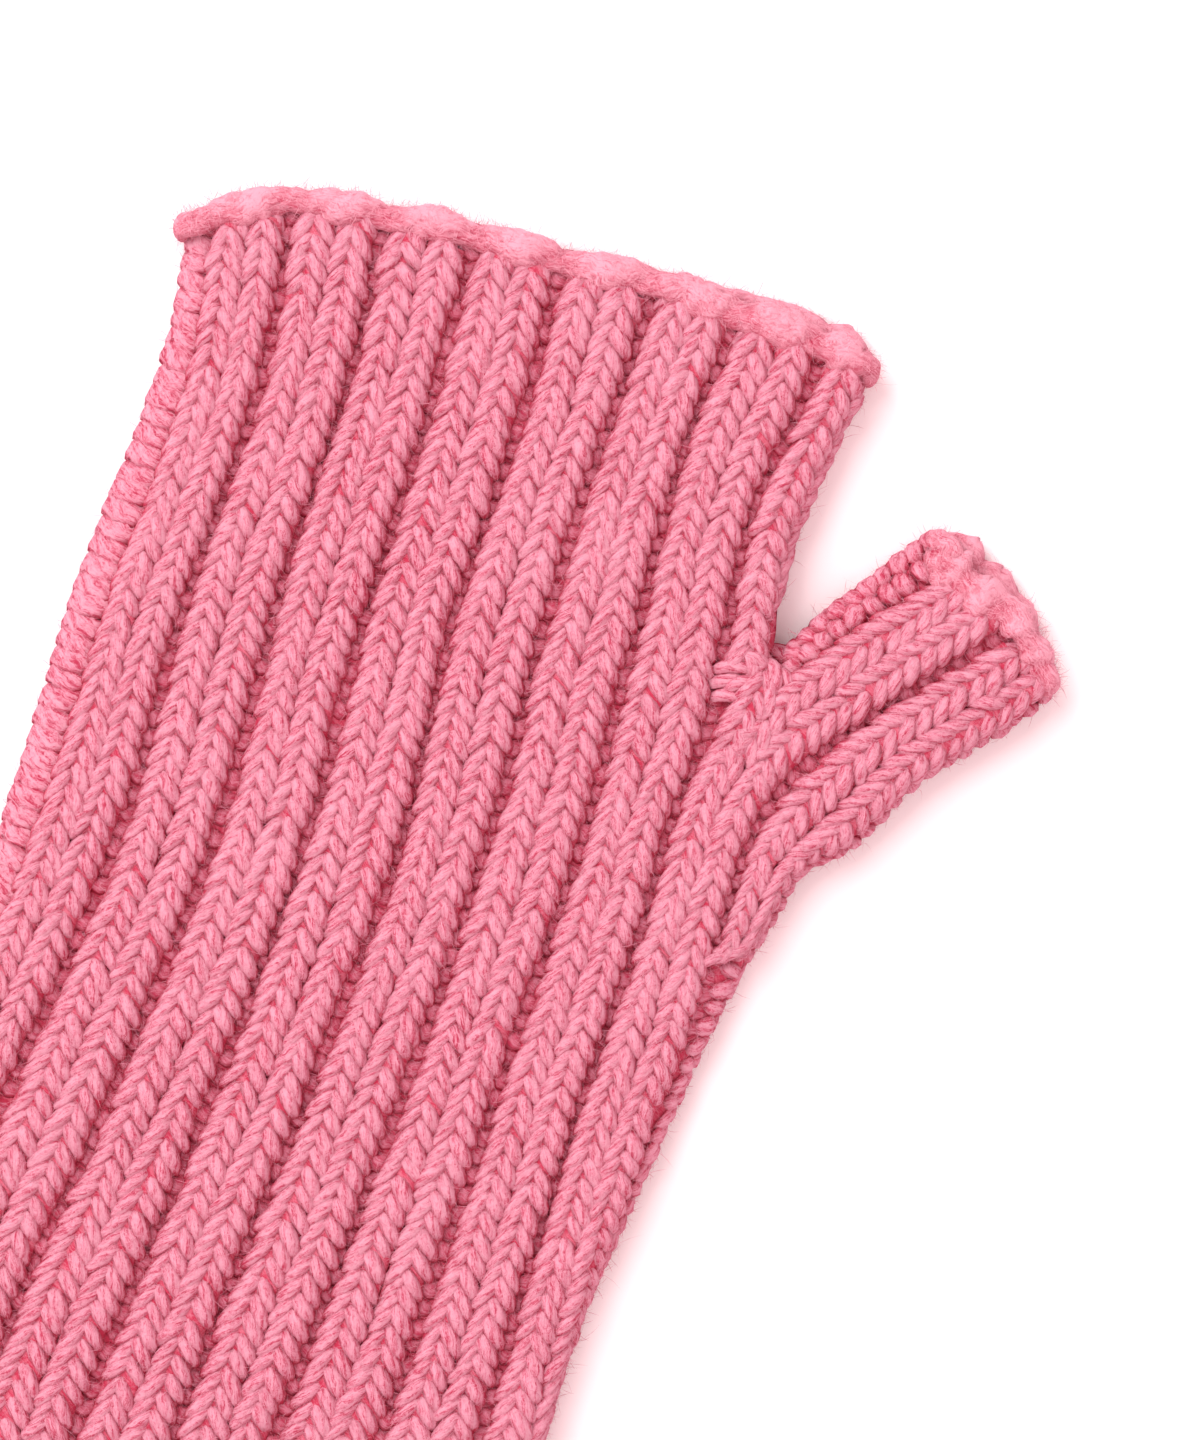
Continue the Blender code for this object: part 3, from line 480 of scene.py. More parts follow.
def skin(plan, layer):
    """The layer's smooth form under its stitches, at plan points of any shape.

    The height is level, and falls to the fold line in a quarter ellipse. Past the fold a point
    goes on round the side and in underneath. Gives points, the way out of the cloth there, and
    how much of a rib's height there is room for.
    """
    flat = plan.reshape(-1, 2)
    gap, inwards = from_fold(flat)
    inside, past = np.maximum(gap, 0), np.maximum(-gap, 0)
    flat = flat + inwards * (TUCK * past)[:, None]
    width = FOLD_OVER if layer == "front" else FOLD_UNDER
    height = GROOVE_Z - FOLD_Z if layer == "front" else -FOLD_Z
    share = np.clip(inside / width, 0, 1)
    round_up = np.sqrt(1 - (1 - share) ** 2)
    slope = abs(height) / width * (1 - share) / np.maximum(round_up, 0.15)
    lean = np.arctan(slope) + TUCKED_LEAN * np.clip(past / TUCKED_AT, 0, 1)
    z = FOLD_Z + height * round_up - np.sign(height) * DROP * past
    up = np.sign(height) * np.cos(lean)
    out = np.column_stack((-inwards * np.sin(lean)[:, None], up))
    shape = plan.shape[:-1]
    room = np.clip(inside / FULL_RIB_AT, 0, 1)
    return (np.column_stack((flat, z)).reshape(*shape, 3), out.reshape(*shape, 3),
            room.reshape(shape))


class Wale:
    """A column of stitches in plan: its middle line, and the vector from there to its edge.

    outer is the side that lies at the rib's edge: -1 left, 1 right.
    """

    def __init__(self, middle, reach, outer=-1):
        self.middle = middle
        self.reach = reach
        self.outer = outer
        step = np.linalg.norm(np.diff(middle, axis=0), axis=1)
        self.along = np.concatenate(([0], np.cumsum(step)))
        self.length = self.along[-1]

    def at(self, s, across):
        """Plan points at s up the wale and across from its middle, where 1 is its right edge."""
        past = np.minimum(s, 0) + np.maximum(s - self.length, 0)
        lead = unit(self.middle[-1] - self.middle[-2])
        return np.stack([np.interp(s, self.along, self.middle[:, k]) + past * lead[k]
                         + across * np.interp(s, self.along, self.reach[:, k])
                         for k in (0, 1)], axis=-1)


def between(left, right, place, reach):
    """The wale at a place between two lines, where place and reach are shares of their gap."""
    return Wale(left + place * (right - left), reach * (right - left), np.sign(place - 0.5))


def beside(line, half_width):
    """The wale that has a line as its middle, with edges square to it."""
    return Wale(line, half_width * right_of(line))


BODY_Y = np.arange(ARM_MOUTH_Y - 1, 146.0, 2.0)
HAND_Y = BODY_Y[BODY_Y > CROTCH[1] - 1]
ARM_Y = BODY_Y[BODY_Y < GUSSET_BASE_Y - 1]
UP_THUMB = np.linspace(0, THUMB_WALE_END, 14)


def last_rib(y):
    """The far edge of the rib that goes round the right-hand fold."""
    pitch = section("g7", y) - section("g6", y)
    return np.stack((section("g7", y) + LAST_RIB * pitch, y), axis=1)


def up_the_thumb(name, rows):
    """A line of the stitches that follows the gusset's rows and then the thumb."""
    across = thumb("lower", UP_THUMB) if name == "fold" else thumb_rib(name, UP_THUMB)
    return np.concatenate((gusset(name, rows), on_thumb(UP_THUMB, across)[1:]))


def wales():
    """Every column of knit stitches: two to a rib."""
    columns = []
    for low, high in zip(("edge",) + GROOVES[:-1], GROOVES):
        columns += [between(tube_line(low, BODY_Y), tube_line(high, BODY_Y), place, WALE_REACH)
                    for place in WALE_MIDDLES]
    for place, lowest in zip(WALE_MIDDLES, HAND_WALES_START):
        y = HAND_Y[HAND_Y > CROTCH[1] - 1 + lowest]
        columns.append(between(tube_line("g7", y), last_rib(y), place, WALE_REACH))
    # the rib from the arm to the thumb: its second wale goes all the way, its first runs up
    # beside the hand to the crotch, and the thumb's own first wale starts under that
    rows = np.linspace(0, len(GUSSET_ROWS) - 1, 24)
    inner = np.concatenate((tube_line("g7", ARM_Y), up_the_thumb("inner", rows)))
    groove = np.concatenate((last_rib(ARM_Y), up_the_thumb("groove", rows)))
    columns.append(between(inner, groove, WALE_MIDDLES[1], WALE_REACH))
    first = WALE_MIDDLES[0]
    low = rows[rows < CROTCH_WALE_ROW]
    inner = np.concatenate((tube_line("g7", ARM_Y), gusset("inner", low)))
    groove = np.concatenate((last_rib(ARM_Y), gusset("groove", low)))
    middle = np.concatenate((inner + first * (groove - inner), CROTCH_WALE))
    reach = np.concatenate((WALE_REACH * (groove - inner),
                            np.tile((CROTCH_WALE_REACH, 0.0), (len(CROTCH_WALE), 1))))
    columns.append(Wale(middle, reach))
    inner, groove = thumb_rib("inner", UP_THUMB), thumb_rib("groove", UP_THUMB)
    middle = on_thumb(UP_THUMB, inner + first * (groove - inner))
    reach = (WALE_REACH * (groove - inner))[:, None] * ACROSS
    at_start = np.repeat(reach[:1], len(THUMB_WALE_START), axis=0)
    columns.append(Wale(np.concatenate((THUMB_WALE_START, middle)),
                        np.concatenate((at_start, reach))))
    for place, lowest in zip(WALE_MIDDLES, GUSSET_WALES_START):
        up = np.linspace(lowest, len(GUSSET_ROWS) - 1, 20)
        columns.append(between(up_the_thumb("groove", up), up_the_thumb("fold", up), place,
                               WALE_REACH))
    return columns


def bump_columns():
    """The purl columns: one deep in each groove, and those on the folded sides and the thumb."""
    rows = np.linspace(0, len(GUSSET_ROWS) - 1, 24)
    deep = [tube_line(name, BODY_Y) for name in GROOVES]
    deep.append(up_the_thumb("groove", rows))
    left, edge = tube_line("left", BODY_Y), tube_line("edge", BODY_Y)
    left_fold = [between(left, edge, *column) for column in LEFT_FOLD_BUMPS]
    rows = np.linspace(0, FIRST_GUSSET_ROWS, 6)
    far = np.concatenate((last_rib(ARM_Y), gusset("groove", rows)))
    right = np.concatenate((tube_line("right", ARM_Y), gusset("fold", rows)))
    right_fold = [between(far, right, *column) for column in RIGHT_FOLD_BUMPS]
    rows = np.linspace(FIRST_GUSSET_ROWS, len(GUSSET_ROWS) - 1, 16)
    right_fold.append(between(up_the_thumb("groove", rows), up_the_thumb("fold", rows),
                              *GUSSET_FOLD_BUMPS))
    thumb_top = []
    for place, lowest in THUMB_BUMPS:
        up = np.linspace(lowest, THUMB_WALE_END, 14)
        upper, inner = on_thumb(up, thumb("upper", up)), on_thumb(up, thumb_rib("inner", up))
        thumb_top.append(between(upper, inner, place, THUMB_BUMP_REACH))
    return {"groove": [beside(line, GROOVE_HALF_WIDTH) for line in deep], "left": left_fold,
            "right": right_fold, "thumb": thumb_top}


def to_mouth(plan, layer, run_on):
    """How far each plan point lies in from the end of its tube, under the rolled edge.

    run_on is how far what starts there runs on towards the arm's end.
    """
    finger = FINGER_FRONT if layer == "front" else FINGER_BACK
    tip = THUMB_FRONT if layer == "front" else THUMB_BACK
    x, y = plan[..., 0], plan[..., 1]
    s, t = (plan - CROTCH) @ ALONG, across_thumb(plan)
    on_the_thumb = (t > -5) & (s > -1) & (x > CROTCH[0] - 2)
    upper = np.where(on_the_thumb, mouth_at(tip, t) - s - THUMB_SHORT, mouth_at(finger, x) - y)
    return np.minimum(upper, y - ARM_MOUTH_Y - run_on)


# ------------------------------------------------------------------------------------ mesh makers

# Wool with no strands of its own: from plan millimetres to a strand's places, its painted shade and
# tone
UV_ACROSS = (1.0, 0.1)
FLAT_SHADE = 0.8
CORE_TONE = 0.5
CLOTH_TONE = 0.4


def put_mesh(name, points, faces, material, uv=None, values=()):
    """A piece from points in millimetres and faces as (count, corners) index arrays.

    uv holds one pair for each face corner, in the faces' order, and values are named numbers
    for each point.
    """
    mesh = bpy.data.meshes.new(name)
    corners = np.concatenate([f.ravel() for f in faces])
    sizes = np.concatenate([np.full(len(f), f.shape[1]) for f in faces])
    mesh.vertices.add(len(points))
    mesh.vertices.foreach_set("co", (np.asarray(points, float) * MM).ravel())
    mesh.loops.add(len(corners))
    mesh.loops.foreach_set("vertex_index", corners)
    mesh.polygons.add(len(sizes))
    mesh.polygons.foreach_set("loop_start", np.concatenate(([0], np.cumsum(sizes)[:-1])))
    mesh.update(calc_edges=True)
    if uv is not None:
        layer = mesh.uv_layers.new(name="strand")
        layer.data.foreach_set("uv", np.asarray(uv, float).ravel())
    for key, value in dict(values).items():
        mesh.attributes.new(key, "FLOAT", "POINT").data.foreach_set("value", value.ravel())
    mesh.validate()
    mesh.shade_smooth()
    mesh.materials.append(material)
    piece = bpy.data.objects.new(name, mesh)
    bpy.context.collection.objects.link(piece)
    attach(piece, "root")
    return piece


def strand_rings(centre, up, wide, tall, sides):
    """Rings of plump strands: ellipses across each strand's run, with a point at each end.

    centre is (strands, rings, 3), up says which way the tops face, and wide and tall are half
    sizes for every ring.
    """
    run = unit(np.gradient(centre, axis=1))
    side = unit(np.cross(run, up))
    top = np.cross(side, run)
    turn = np.linspace(0, 2 * np.pi, sides, endpoint=False)[:, None]
    rings = (centre[:, :, None] + np.cos(turn) * (wide[..., None] * side)[:, :, None]
             + np.sin(turn) * (tall[..., None] * top)[:, :, None])
    tips = centre[:, [0, -1]] + run[:, [0, -1]] * (wide[:, [0, -1], None] * ((-TIP,), (TIP,)))
    points = np.concatenate((rings.reshape(len(centre), -1, 3), tips), axis=1)
    points[..., 2] = np.maximum(points[..., 2], TABLE_CLEAR)
    return points, side, top


def strand_faces(count, rings, sides):
    """Quads round each strand and triangles to its two end points."""
    ring, k = np.meshgrid(np.arange(rings - 1), np.arange(sides), indexing="ij")
    ring, k, after = ring.ravel(), k.ravel(), (k.ravel() + 1) % sides
    quads = np.stack((ring * sides + k, ring * sides + after, (ring + 1) * sides + after,
                      (ring + 1) * sides + k), axis=1)
    k, after = np.arange(sides), (np.arange(sides) + 1) % sides
    last = (rings - 1) * sides
    first_tip = np.stack((np.full(sides, rings * sides), after, k), axis=1)
    last_tip = np.stack((np.full(sides, rings * sides + 1), last + k, last + after), axis=1)
    step = (np.arange(count) * (rings * sides + 2))[:, None, None]
    return ((quads + step).reshape(-1, 4),
            (np.concatenate((first_tip, last_tip)) + step).reshape(-1, 3))


def strand_uv(along, rings, sides):
    """Millimetres along the strand, and turns round it, for each corner of strand_faces."""
    ring, k = np.meshgrid(np.arange(rings - 1), np.arange(sides), indexing="ij")
    ring, k = ring.ravel(), k.ravel()
    at = np.stack((ring, ring, ring + 1, ring + 1), axis=1)
    turn = np.stack((k, k + 1, k + 1, k), axis=1) / sides
    quad = np.stack((along[:, at], np.broadcast_to(turn, (len(along), *turn.shape))), axis=-1)
    k = np.arange(sides)
    ends = []
    for ring, past, corners in ((0, -0.5, (0.5, 1, 0)), (rings - 1, 0.5, (0.5, 0, 1))):
        turn = np.stack([k + c for c in corners], axis=1) / sides
        u = np.broadcast_to(along[:, ring, None, None], (len(along), sides, 3)).copy()
        u[..., 0] += past
        ends.append(np.stack((u, np.broadcast_to(turn, u.shape)), axis=-1))
    return np.concatenate((quad.reshape(-1, 2), np.concatenate(ends, axis=1).reshape(-1, 2)))


STREAK_SHIFT = 40         # how far a strand's streaks are moved along it, by its tone
SIDE_SHADE = 0.35         # painted shade at a strand's sides, and how much less of it the lit top gets
TOP_SHADE_CUT = 0.65
# more painted shade at a strand's two pointed ends
TIP_SHADE = 0.3


def put_strands(name, centre, up, wide, tall, sides, depth, tone, material):
    """One piece of many strands, and their rings' middles, ways and sizes for fibres to root in.

    The painted shade is 0 on a strand's lit crown and 1 deep between strands, and its rings get
    more of it down their sides and at their ends. tone is a random value for each strand, which
    also moves its streaks so that no two strands are alike.
    """
    points, side, top = strand_rings(centre, up, wide, tall, sides)
    count, rings = centre.shape[:2]
    step = np.linalg.norm(np.diff(centre, axis=1), axis=-1)
    along = np.concatenate((np.zeros((count, 1)), np.cumsum(step, axis=1)), axis=1)
    along = along + STREAK_SHIFT * tone[:, None]
    turn = np.linspace(0, 2 * np.pi, sides, endpoint=False)
    # painted shade round each ring: darker down the sides and underneath, lighter on the top that
    # faces the lamps
    ring_depth = np.clip(depth[..., None] + SIDE_SHADE - TOP_SHADE_CUT * np.sin(turn), 0, 1)
    ring_depth = np.concatenate((ring_depth.reshape(count, -1), depth[:, [0, -1]] + TIP_SHADE),
                                axis=1)
    values = {"depth": np.clip(ring_depth, 0, 1),
              "tone": np.repeat(tone, rings * sides + 2)}
    piece = put_mesh(name, points.reshape(-1, 3), strand_faces(count, rings, sides), material,
                     strand_uv(along, rings, sides), values)
    return piece, (centre, side, top, wide, tall)


# ------------------------------------------------------------------------------------- materials

def node(tree, kind, inputs=(), **settings):
    """Adds a shader node with its settings, and its inputs as values or as links."""
    new = tree.nodes.new(kind)
    for key, value in settings.items():
        setattr(new, key, value)
    for key, value in dict(inputs).items():
        if isinstance(value, bpy.types.NodeSocket):
            tree.links.new(value, new.inputs[key])
        else:
            new.inputs[key].default_value = value
    return new


def math_node(tree, operation, *values):
    """The result of one sum on links or numbers."""
    return node(tree, "ShaderNodeMath", enumerate(values), operation=operation).outputs[0]


def weighted(tree, start, pairs):
    """start plus the sum of value - middle times weight, for (value, middle, weight) rows."""
    total = start
    for value, middle, weight in pairs:
        part = math_node(tree, "MULTIPLY", math_node(tree, "SUBTRACT", value, middle), weight)
        total = math_node(tree, "ADD", total, part)
    return total


def fine_line(tree, value, half):
    """1 on the curves where a noise crosses its middle value, falling to 0 at half from it."""
    off = math_node(tree, "ABSOLUTE", math_node(tree, "SUBTRACT", value, 0.5))
    return node(tree, "ShaderNodeMapRange", {"Value": off, "From Max": half, "To Min": 1.0,
                                             "To Max": 0.0}).outputs[0]


def new_material(name):
    """An empty node material with its surface shader."""
    made = bpy.data.materials.new(name)
    made.use_nodes = True
    made.node_tree.nodes.clear()
    tree = made.node_tree
    shader = node(tree, "ShaderNodeBsdfPrincipled")
    node(tree, "ShaderNodeOutputMaterial", {"Surface": shader.outputs[0]})
    return made, tree, shader


def strays(tree, place, scale):
    """Curly stray fibres: three sets of thin lines, each where a noise crosses its middle."""
    curls = node(tree, "ShaderNodeTexNoise", {"Vector": place, "Scale": scale, "Detail": 1.0,
                                              "Roughness": 0.6, "Distortion": 0.4}).outputs[1]
    curls = node(tree, "ShaderNodeSeparateColor", {0: curls}).outputs
    return [fine_line(tree, curl, 0.022) for curl in curls]


def set_wool_shader(shader, sheen, sheen_colour):
    """Wool scatters light with no gloss, and its loose fibres brighten what faces away."""
    for key, value in {"Roughness": 0.95, "Specular IOR Level": 0.05, "IOR": 1.5,
                       "Sheen Weight": sheen, "Sheen Roughness": 0.55,
                       "Sheen Tint": (*sheen_colour, 1.0)}.items():
        shader.inputs[key].default_value = value


def spun_wool(name, colours, light, middle, deep):
    """Woollen yarn of loosely twisted plies, softly brushed.

    The plies wind round each strand as shallow ridges with painted shade in the lines between
    them, and fine fibres streak along them and stray across, beside painted shadows of strays.
    A painted shade takes the wool from its pale lit crown to deep pink down its sides and in
    the crevices.
    """
    made, tree, shader = new_material(name)
    uv = node(tree, "ShaderNodeUVMap", uv_map="strand").outputs[0]
    split = node(tree, "ShaderNodeSeparateXYZ", {0: uv})
    place = node(tree, "ShaderNodeTexCoord").outputs["Object"]
    along, turn = split.outputs[0], split.outputs[1]
    tone = node(tree, "ShaderNodeAttribute", attribute_name="tone").outputs["Fac"]
    depth = node(tree, "ShaderNodeAttribute", attribute_name="depth").outputs["Fac"]

    # an uneven path: the wool wavers over 1.5 mm
    waver = node(tree, "ShaderNodeTexNoise", {"Vector": place, "Scale": 640.0, "Detail": 1.0})
    waver = math_node(tree, "SUBTRACT", waver.outputs[0], 0.5)
    # five plies round a strand, each winding once in 14 mm, with painted shade between them
    phase = math_node(tree, "ADD", math_node(tree, "MULTIPLY", turn, 5.0),
                      math_node(tree, "MULTIPLY", along, 0.36))
    phase = math_node(tree, "ADD", phase, math_node(tree, "MULTIPLY", waver, 0.7))
    ply = math_node(tree, "SINE", math_node(tree, "MULTIPLY", phase, 2 * math.pi))

    # fibres: streaks 0.2 mm wide and 1.4 mm long that follow the twist, with finer dark and
    # pale lines between them
    twist = math_node(tree, "ADD", math_node(tree, "MULTIPLY", turn, 26.0),
                      math_node(tree, "MULTIPLY", along, 1.5))
    twist = math_node(tree, "ADD", twist, math_node(tree, "MULTIPLY", waver, 3.0))
    streak_at = node(tree, "ShaderNodeCombineXYZ",
                     {0: math_node(tree, "MULTIPLY", along, 0.7), 1: twist,
                      2: math_node(tree, "MULTIPLY", tone, 50.0)})
    streaks = node(tree, "ShaderNodeTexNoise",
                   {"Vector": streak_at.outputs[0], "Scale": 1.0, "Detail": 3.0,
                    "Roughness": 0.65}).outputs[1]
    streaks = node(tree, "ShaderNodeSeparateColor", {0: streaks}).outputs
    streak, dark_line, pale_line = streaks[0], *(fine_line(tree, s, 0.05) for s in streaks[1:])
    # strays 0.1 mm wide that curl over 1.5 mm: two sets of pale fibres, and dark lines painted as
    # their shadows
    pale_one, pale_two, stray_shadow = strays(tree, place, 640.0)
    # brushed-up wool in soft patches 0.6 mm across
    patch = node(tree, "ShaderNodeTexNoise",
                 {"Vector": place, "Scale": 1700.0, "Detail": 1.0, "Roughness": 0.5}).outputs[0]
    # slow drift of the dye over two centimetres
    drift = node(tree, "ShaderNodeTexNoise", {"Vector": place, "Scale": 45.0}).outputs[0]

    # the wool's own streaks, lines, patches, tone and dye drift, with the painted shade of the
    # plies, the strays' painted shadows and the strand's painted shade
    share = weighted(tree, 0.55, (
        (streak, 0.5, 2.2), (dark_line, 0.1, -0.42), (pale_line, 0.1, 0.26), (ply, 0.0, 0.20),
        (patch, 0.5, 0.6), (pale_one, 0.1, 0.30), (pale_two, 0.1, 0.30), (stray_shadow, 0.1, -0.20),
        (tone, 0.5, 0.16), (drift, 0.5, 0.35), (depth, 0.25, -0.45)))
    ramp = node(tree, "ShaderNodeValToRGB", {0: share})
    stops = ramp.color_ramp.elements
    stops[0].position, stops[0].color = 0.0, (*deep, 1)
    stops[1].position, stops[1].color = 1.0, (*light, 1)
    stops.new(0.5).color = (*middle, 1)
    # in the gaps the light comes through the wool and turns redder
    sunk = math_node(tree, "SUBTRACT", depth, 0.3)
    wool = node(tree, "ShaderNodeMix", {0: sunk, 6: ramp.outputs[0], 7: (*colours.gap, 1)},
                data_type="RGBA").outputs[2]

    # ridges and streaks about 0.1 mm high
    height = weighted(tree, 0.0, ((ply, 0.0, 0.25), (streak, 0.0, 1.3)))
    bump = node(tree, "ShaderNodeBump", {"Height": height, "Distance": 0.00008, "Strength": 1.0})
    tree.links.new(wool, shader.inputs["Base Color"])
    tree.links.new(bump.outputs[0], shader.inputs["Normal"])
    set_wool_shader(shader, 0.0, colours.light)
    return made


def felted_wool(name, colours):
    """Wool brushed up until its stitches hardly show: soft clumps, and swirling fine fibres."""
    made, tree, shader = new_material(name)
    uv = node(tree, "ShaderNodeUVMap", uv_map="strand").outputs[0]
    place = node(tree, "ShaderNodeTexCoord").outputs["Object"]
    depth = node(tree, "ShaderNodeAttribute", attribute_name="depth").outputs["Fac"]
    # clumps 1.5 mm across, and a nap of 0.25 mm fibres
    clump = node(tree, "ShaderNodeTexNoise",
                 {"Vector": place, "Scale": 650.0, "Detail": 3.0}).outputs[0]
    nap = node(tree, "ShaderNodeTexNoise",
               {"Vector": place, "Scale": 4200.0, "Detail": 3.0, "Roughness": 0.7}).outputs[0]
    # fibres 0.3 mm wide and 2 mm long, bent over 4 mm
    swirl = node(tree, "ShaderNodeTexNoise", {"Vector": place, "Scale": 260.0}).outputs[1]
    bent = node(tree, "ShaderNodeVectorMath", {0: swirl, "Scale": 5.0}, operation="SCALE")
    bent = node(tree, "ShaderNodeVectorMath", {0: bent.outputs[0], 1: uv}, operation="ADD")
    thin = node(tree, "ShaderNodeVectorMath", {0: bent.outputs[0], 1: (0.5, 3.4, 1.0)},
                operation="MULTIPLY")
    fibre = node(tree, "ShaderNodeTexNoise",
                 {"Vector": thin.outputs[0], "Scale": 1.0, "Detail": 3.0}).outputs[0]
    pale_one, pale_two, stray_shadow = strays(tree, place, 560.0)
    # clumps, nap and fibres of the wool, with the strays' painted shadows and the roll's painted
    # shade
    share = weighted(tree, 0.80, ((clump, 0.5, 0.7), (nap, 0.5, 0.7), (fibre, 0.5, 1.6),
                                  (pale_one, 0.1, 0.3), (pale_two, 0.1, 0.3),
                                  (stray_shadow, 0.1, -0.3), (depth, 0.25, -0.5)))
    ramp = node(tree, "ShaderNodeValToRGB", {0: share})
    stops = ramp.color_ramp.elements
    stops[0].position, stops[0].color = 0.0, (*colours.deep, 1)
    stops[1].position, stops[1].color = 0.9, (*colours.felt, 1)
    height = weighted(tree, 0.0, ((clump, 0.0, 1.0), (nap, 0.0, 0.4), (fibre, 0.0, 1.2)))
    bump = node(tree, "ShaderNodeBump", {"Height": height, "Distance": 0.0002, "Strength": 0.8})
    tree.links.new(ramp.outputs[0], shader.inputs["Base Color"])
    tree.links.new(bump.outputs[0], shader.inputs["Normal"])
    set_wool_shader(shader, 0.25, colours.halo)
    return made


def loose_fibre(name, colour):
    """Single wool fibres: pale, a little see-through, with no gloss."""
    made, tree, shader = new_material(name)
    tone = node(tree, "ShaderNodeAttribute", attribute_name="tone").outputs["Fac"]
    ramp = node(tree, "ShaderNodeValToRGB", {0: tone})
    stops = ramp.color_ramp.elements
    stops[0].color = (0.65 * colour[0], 0.42 * colour[1], 0.5 * colour[2], 1)
    stops[1].color = (*colour, 1)
    tree.links.new(ramp.outputs[0], shader.inputs["Base Color"])
    set_wool_shader(shader, 0.0, colour)
    return made


def table_top(name, colour):
    """A matt white laminate table: even, with no visible grain."""
    made, tree, shader = new_material(name)
    place = node(tree, "ShaderNodeTexCoord").outputs["Object"]
    grain = node(tree, "ShaderNodeTexNoise", {"Vector": place, "Scale": 9.0}).outputs[0]
    ramp = node(tree, "ShaderNodeValToRGB", {0: grain})
    ramp.color_ramp.elements[0].color = (*(0.99 * c for c in colour), 1)
    ramp.color_ramp.elements[1].color = (*colour, 1)
    tree.links.new(ramp.outputs[0], shader.inputs["Base Color"])
    shader.inputs["Roughness"].default_value = 0.9
    shader.inputs["Specular IOR Level"].default_value = 0.1
    return made


def use(name, maker, *arguments):
    """A material by its name, made the first time."""
    return bpy.data.materials.get(name) or maker(name, *arguments)


def rib_wool(colours):
    """The yarn of the ribs and of all that stands up to the light."""
    return use("brushed_woollen_yarn", spun_wool, colours, colours.light, colours.middle,
               colours.deep)


def groove_wool(colours):
    """The same yarn in the grooves and the cloth under the stitches, painted darker as the shade
    there.
    """
    flank = tuple(0.6 * a + 0.4 * b for a, b in zip(colours.middle, colours.deep))
    return use("groove_shaded_woollen_yarn", spun_wool, colours, colours.middle, flank, colours.deep)


# ---------------------------------------------------------------------------------------- stitches

def slow_luck(luck, count, spread, stitches=5):
    """A random value for each stitch of a wale that changes slowly along it."""
    knots = np.arange(0, count + stitches, stitches)
    return np.interp(np.arange(count), knots, luck.normal(0, spread, len(knots)))


def stitch_places(wale, pitch, luck, unevenness):
    """Heights of a wale's stitches: even rows, each a little off its place."""
    count = int(wale.length / pitch) + 2
    return (np.arange(count) * pitch
            + unevenness * (slow_luck(luck, count, SPREAD["row_drift"], 7)
                            + luck.normal(0, SPREAD["row"], count)))


def legs(rings, layer, length, strand, pitch, unevenness, seed):
    """All legs of one hand in a layer: their middles, up vectors, sizes and painted shade."""
    luck = np.random.default_rng(seed)

    def spread(kind, count):
        """A random value for each stitch, in a column."""
        return unevenness * luck.normal(0, SPREAD[kind], count)[:, None]

    found = []
    for wale in wales():
        s = stitch_places(wale, pitch, luck, unevenness)
        count = len(s)
        long = length * (1 + spread("length", count))
        lean = 1 + spread("lean", count)
        drift = unevenness * slow_luck(luck, count, SPREAD["drift"])[:, None]
        along = s[:, None] + LEG_START - rings[:, 1] * long
        across = rings[:, 0] * lean + drift
        plan = wale.at(along, across)
        inside = to_mouth(wale.at(s, np.zeros(count)), layer, LEG_RUN_ON)
        keep = inside > -UNDER_ROLL
        if layer == "back":
            gap, _ = from_fold(wale.at(s, np.full(count, 0.5 * rings[-1, 0])))
            keep &= gap > BACK_FOLD_CLEAR
        plan, count = plan[keep], keep.sum()
        base, out, room = skin(plan, layer)
        sink = np.clip(1 - (inside[keep] + UNDER_ROLL) / SINK_RUN, 0, 1)[:, None]
        lift = spread("height", count)
        crest = RIB_HEIGHT * room if layer == "front" else 0.0
        at_edge = np.maximum(wale.outer * rings[:, 0], 0)
        inner = 1 - INNER_LIFT * np.maximum(-wale.outer * rings[:, 0], 0)
        rise = inner * rings[:, 2] * (1 if layer == "front" else BACK_RISE)
        rise = rise - RIB_DOME * at_edge ** 2
        reach = np.linalg.norm(wale.at(s, 1.0 + 0 * s) - wale.at(s, 0 * s), axis=1)
        slim = np.clip(0.5 * reach, SLIMMEST, 1.0)[keep]
        size = rings[:, 3] * (slim[:, None] * (1 + spread("size", count)))
        high = crest + rise + lift - sink - 0.5 * strand
        if layer == "back":
            high = np.minimum(high, -0.5 * strand * size)
        centre = base + out * high[..., None]
        # painted shade: darker where a leg dips below the rib's crest, and more at the rib's outer
        # edges
        depth = np.clip(-inner * rings[:, 2] / 1.1, 0, 1) ** 1.2 + 0.3 * at_edge ** 2
        kept = unbroken(centre, LONGEST_LEG_STEP)
        depth = np.broadcast_to(depth, size.shape)
        found.append([part[kept] for part in (centre, out, size, depth)])
    return [np.concatenate(parts) for parts in zip(*found)]


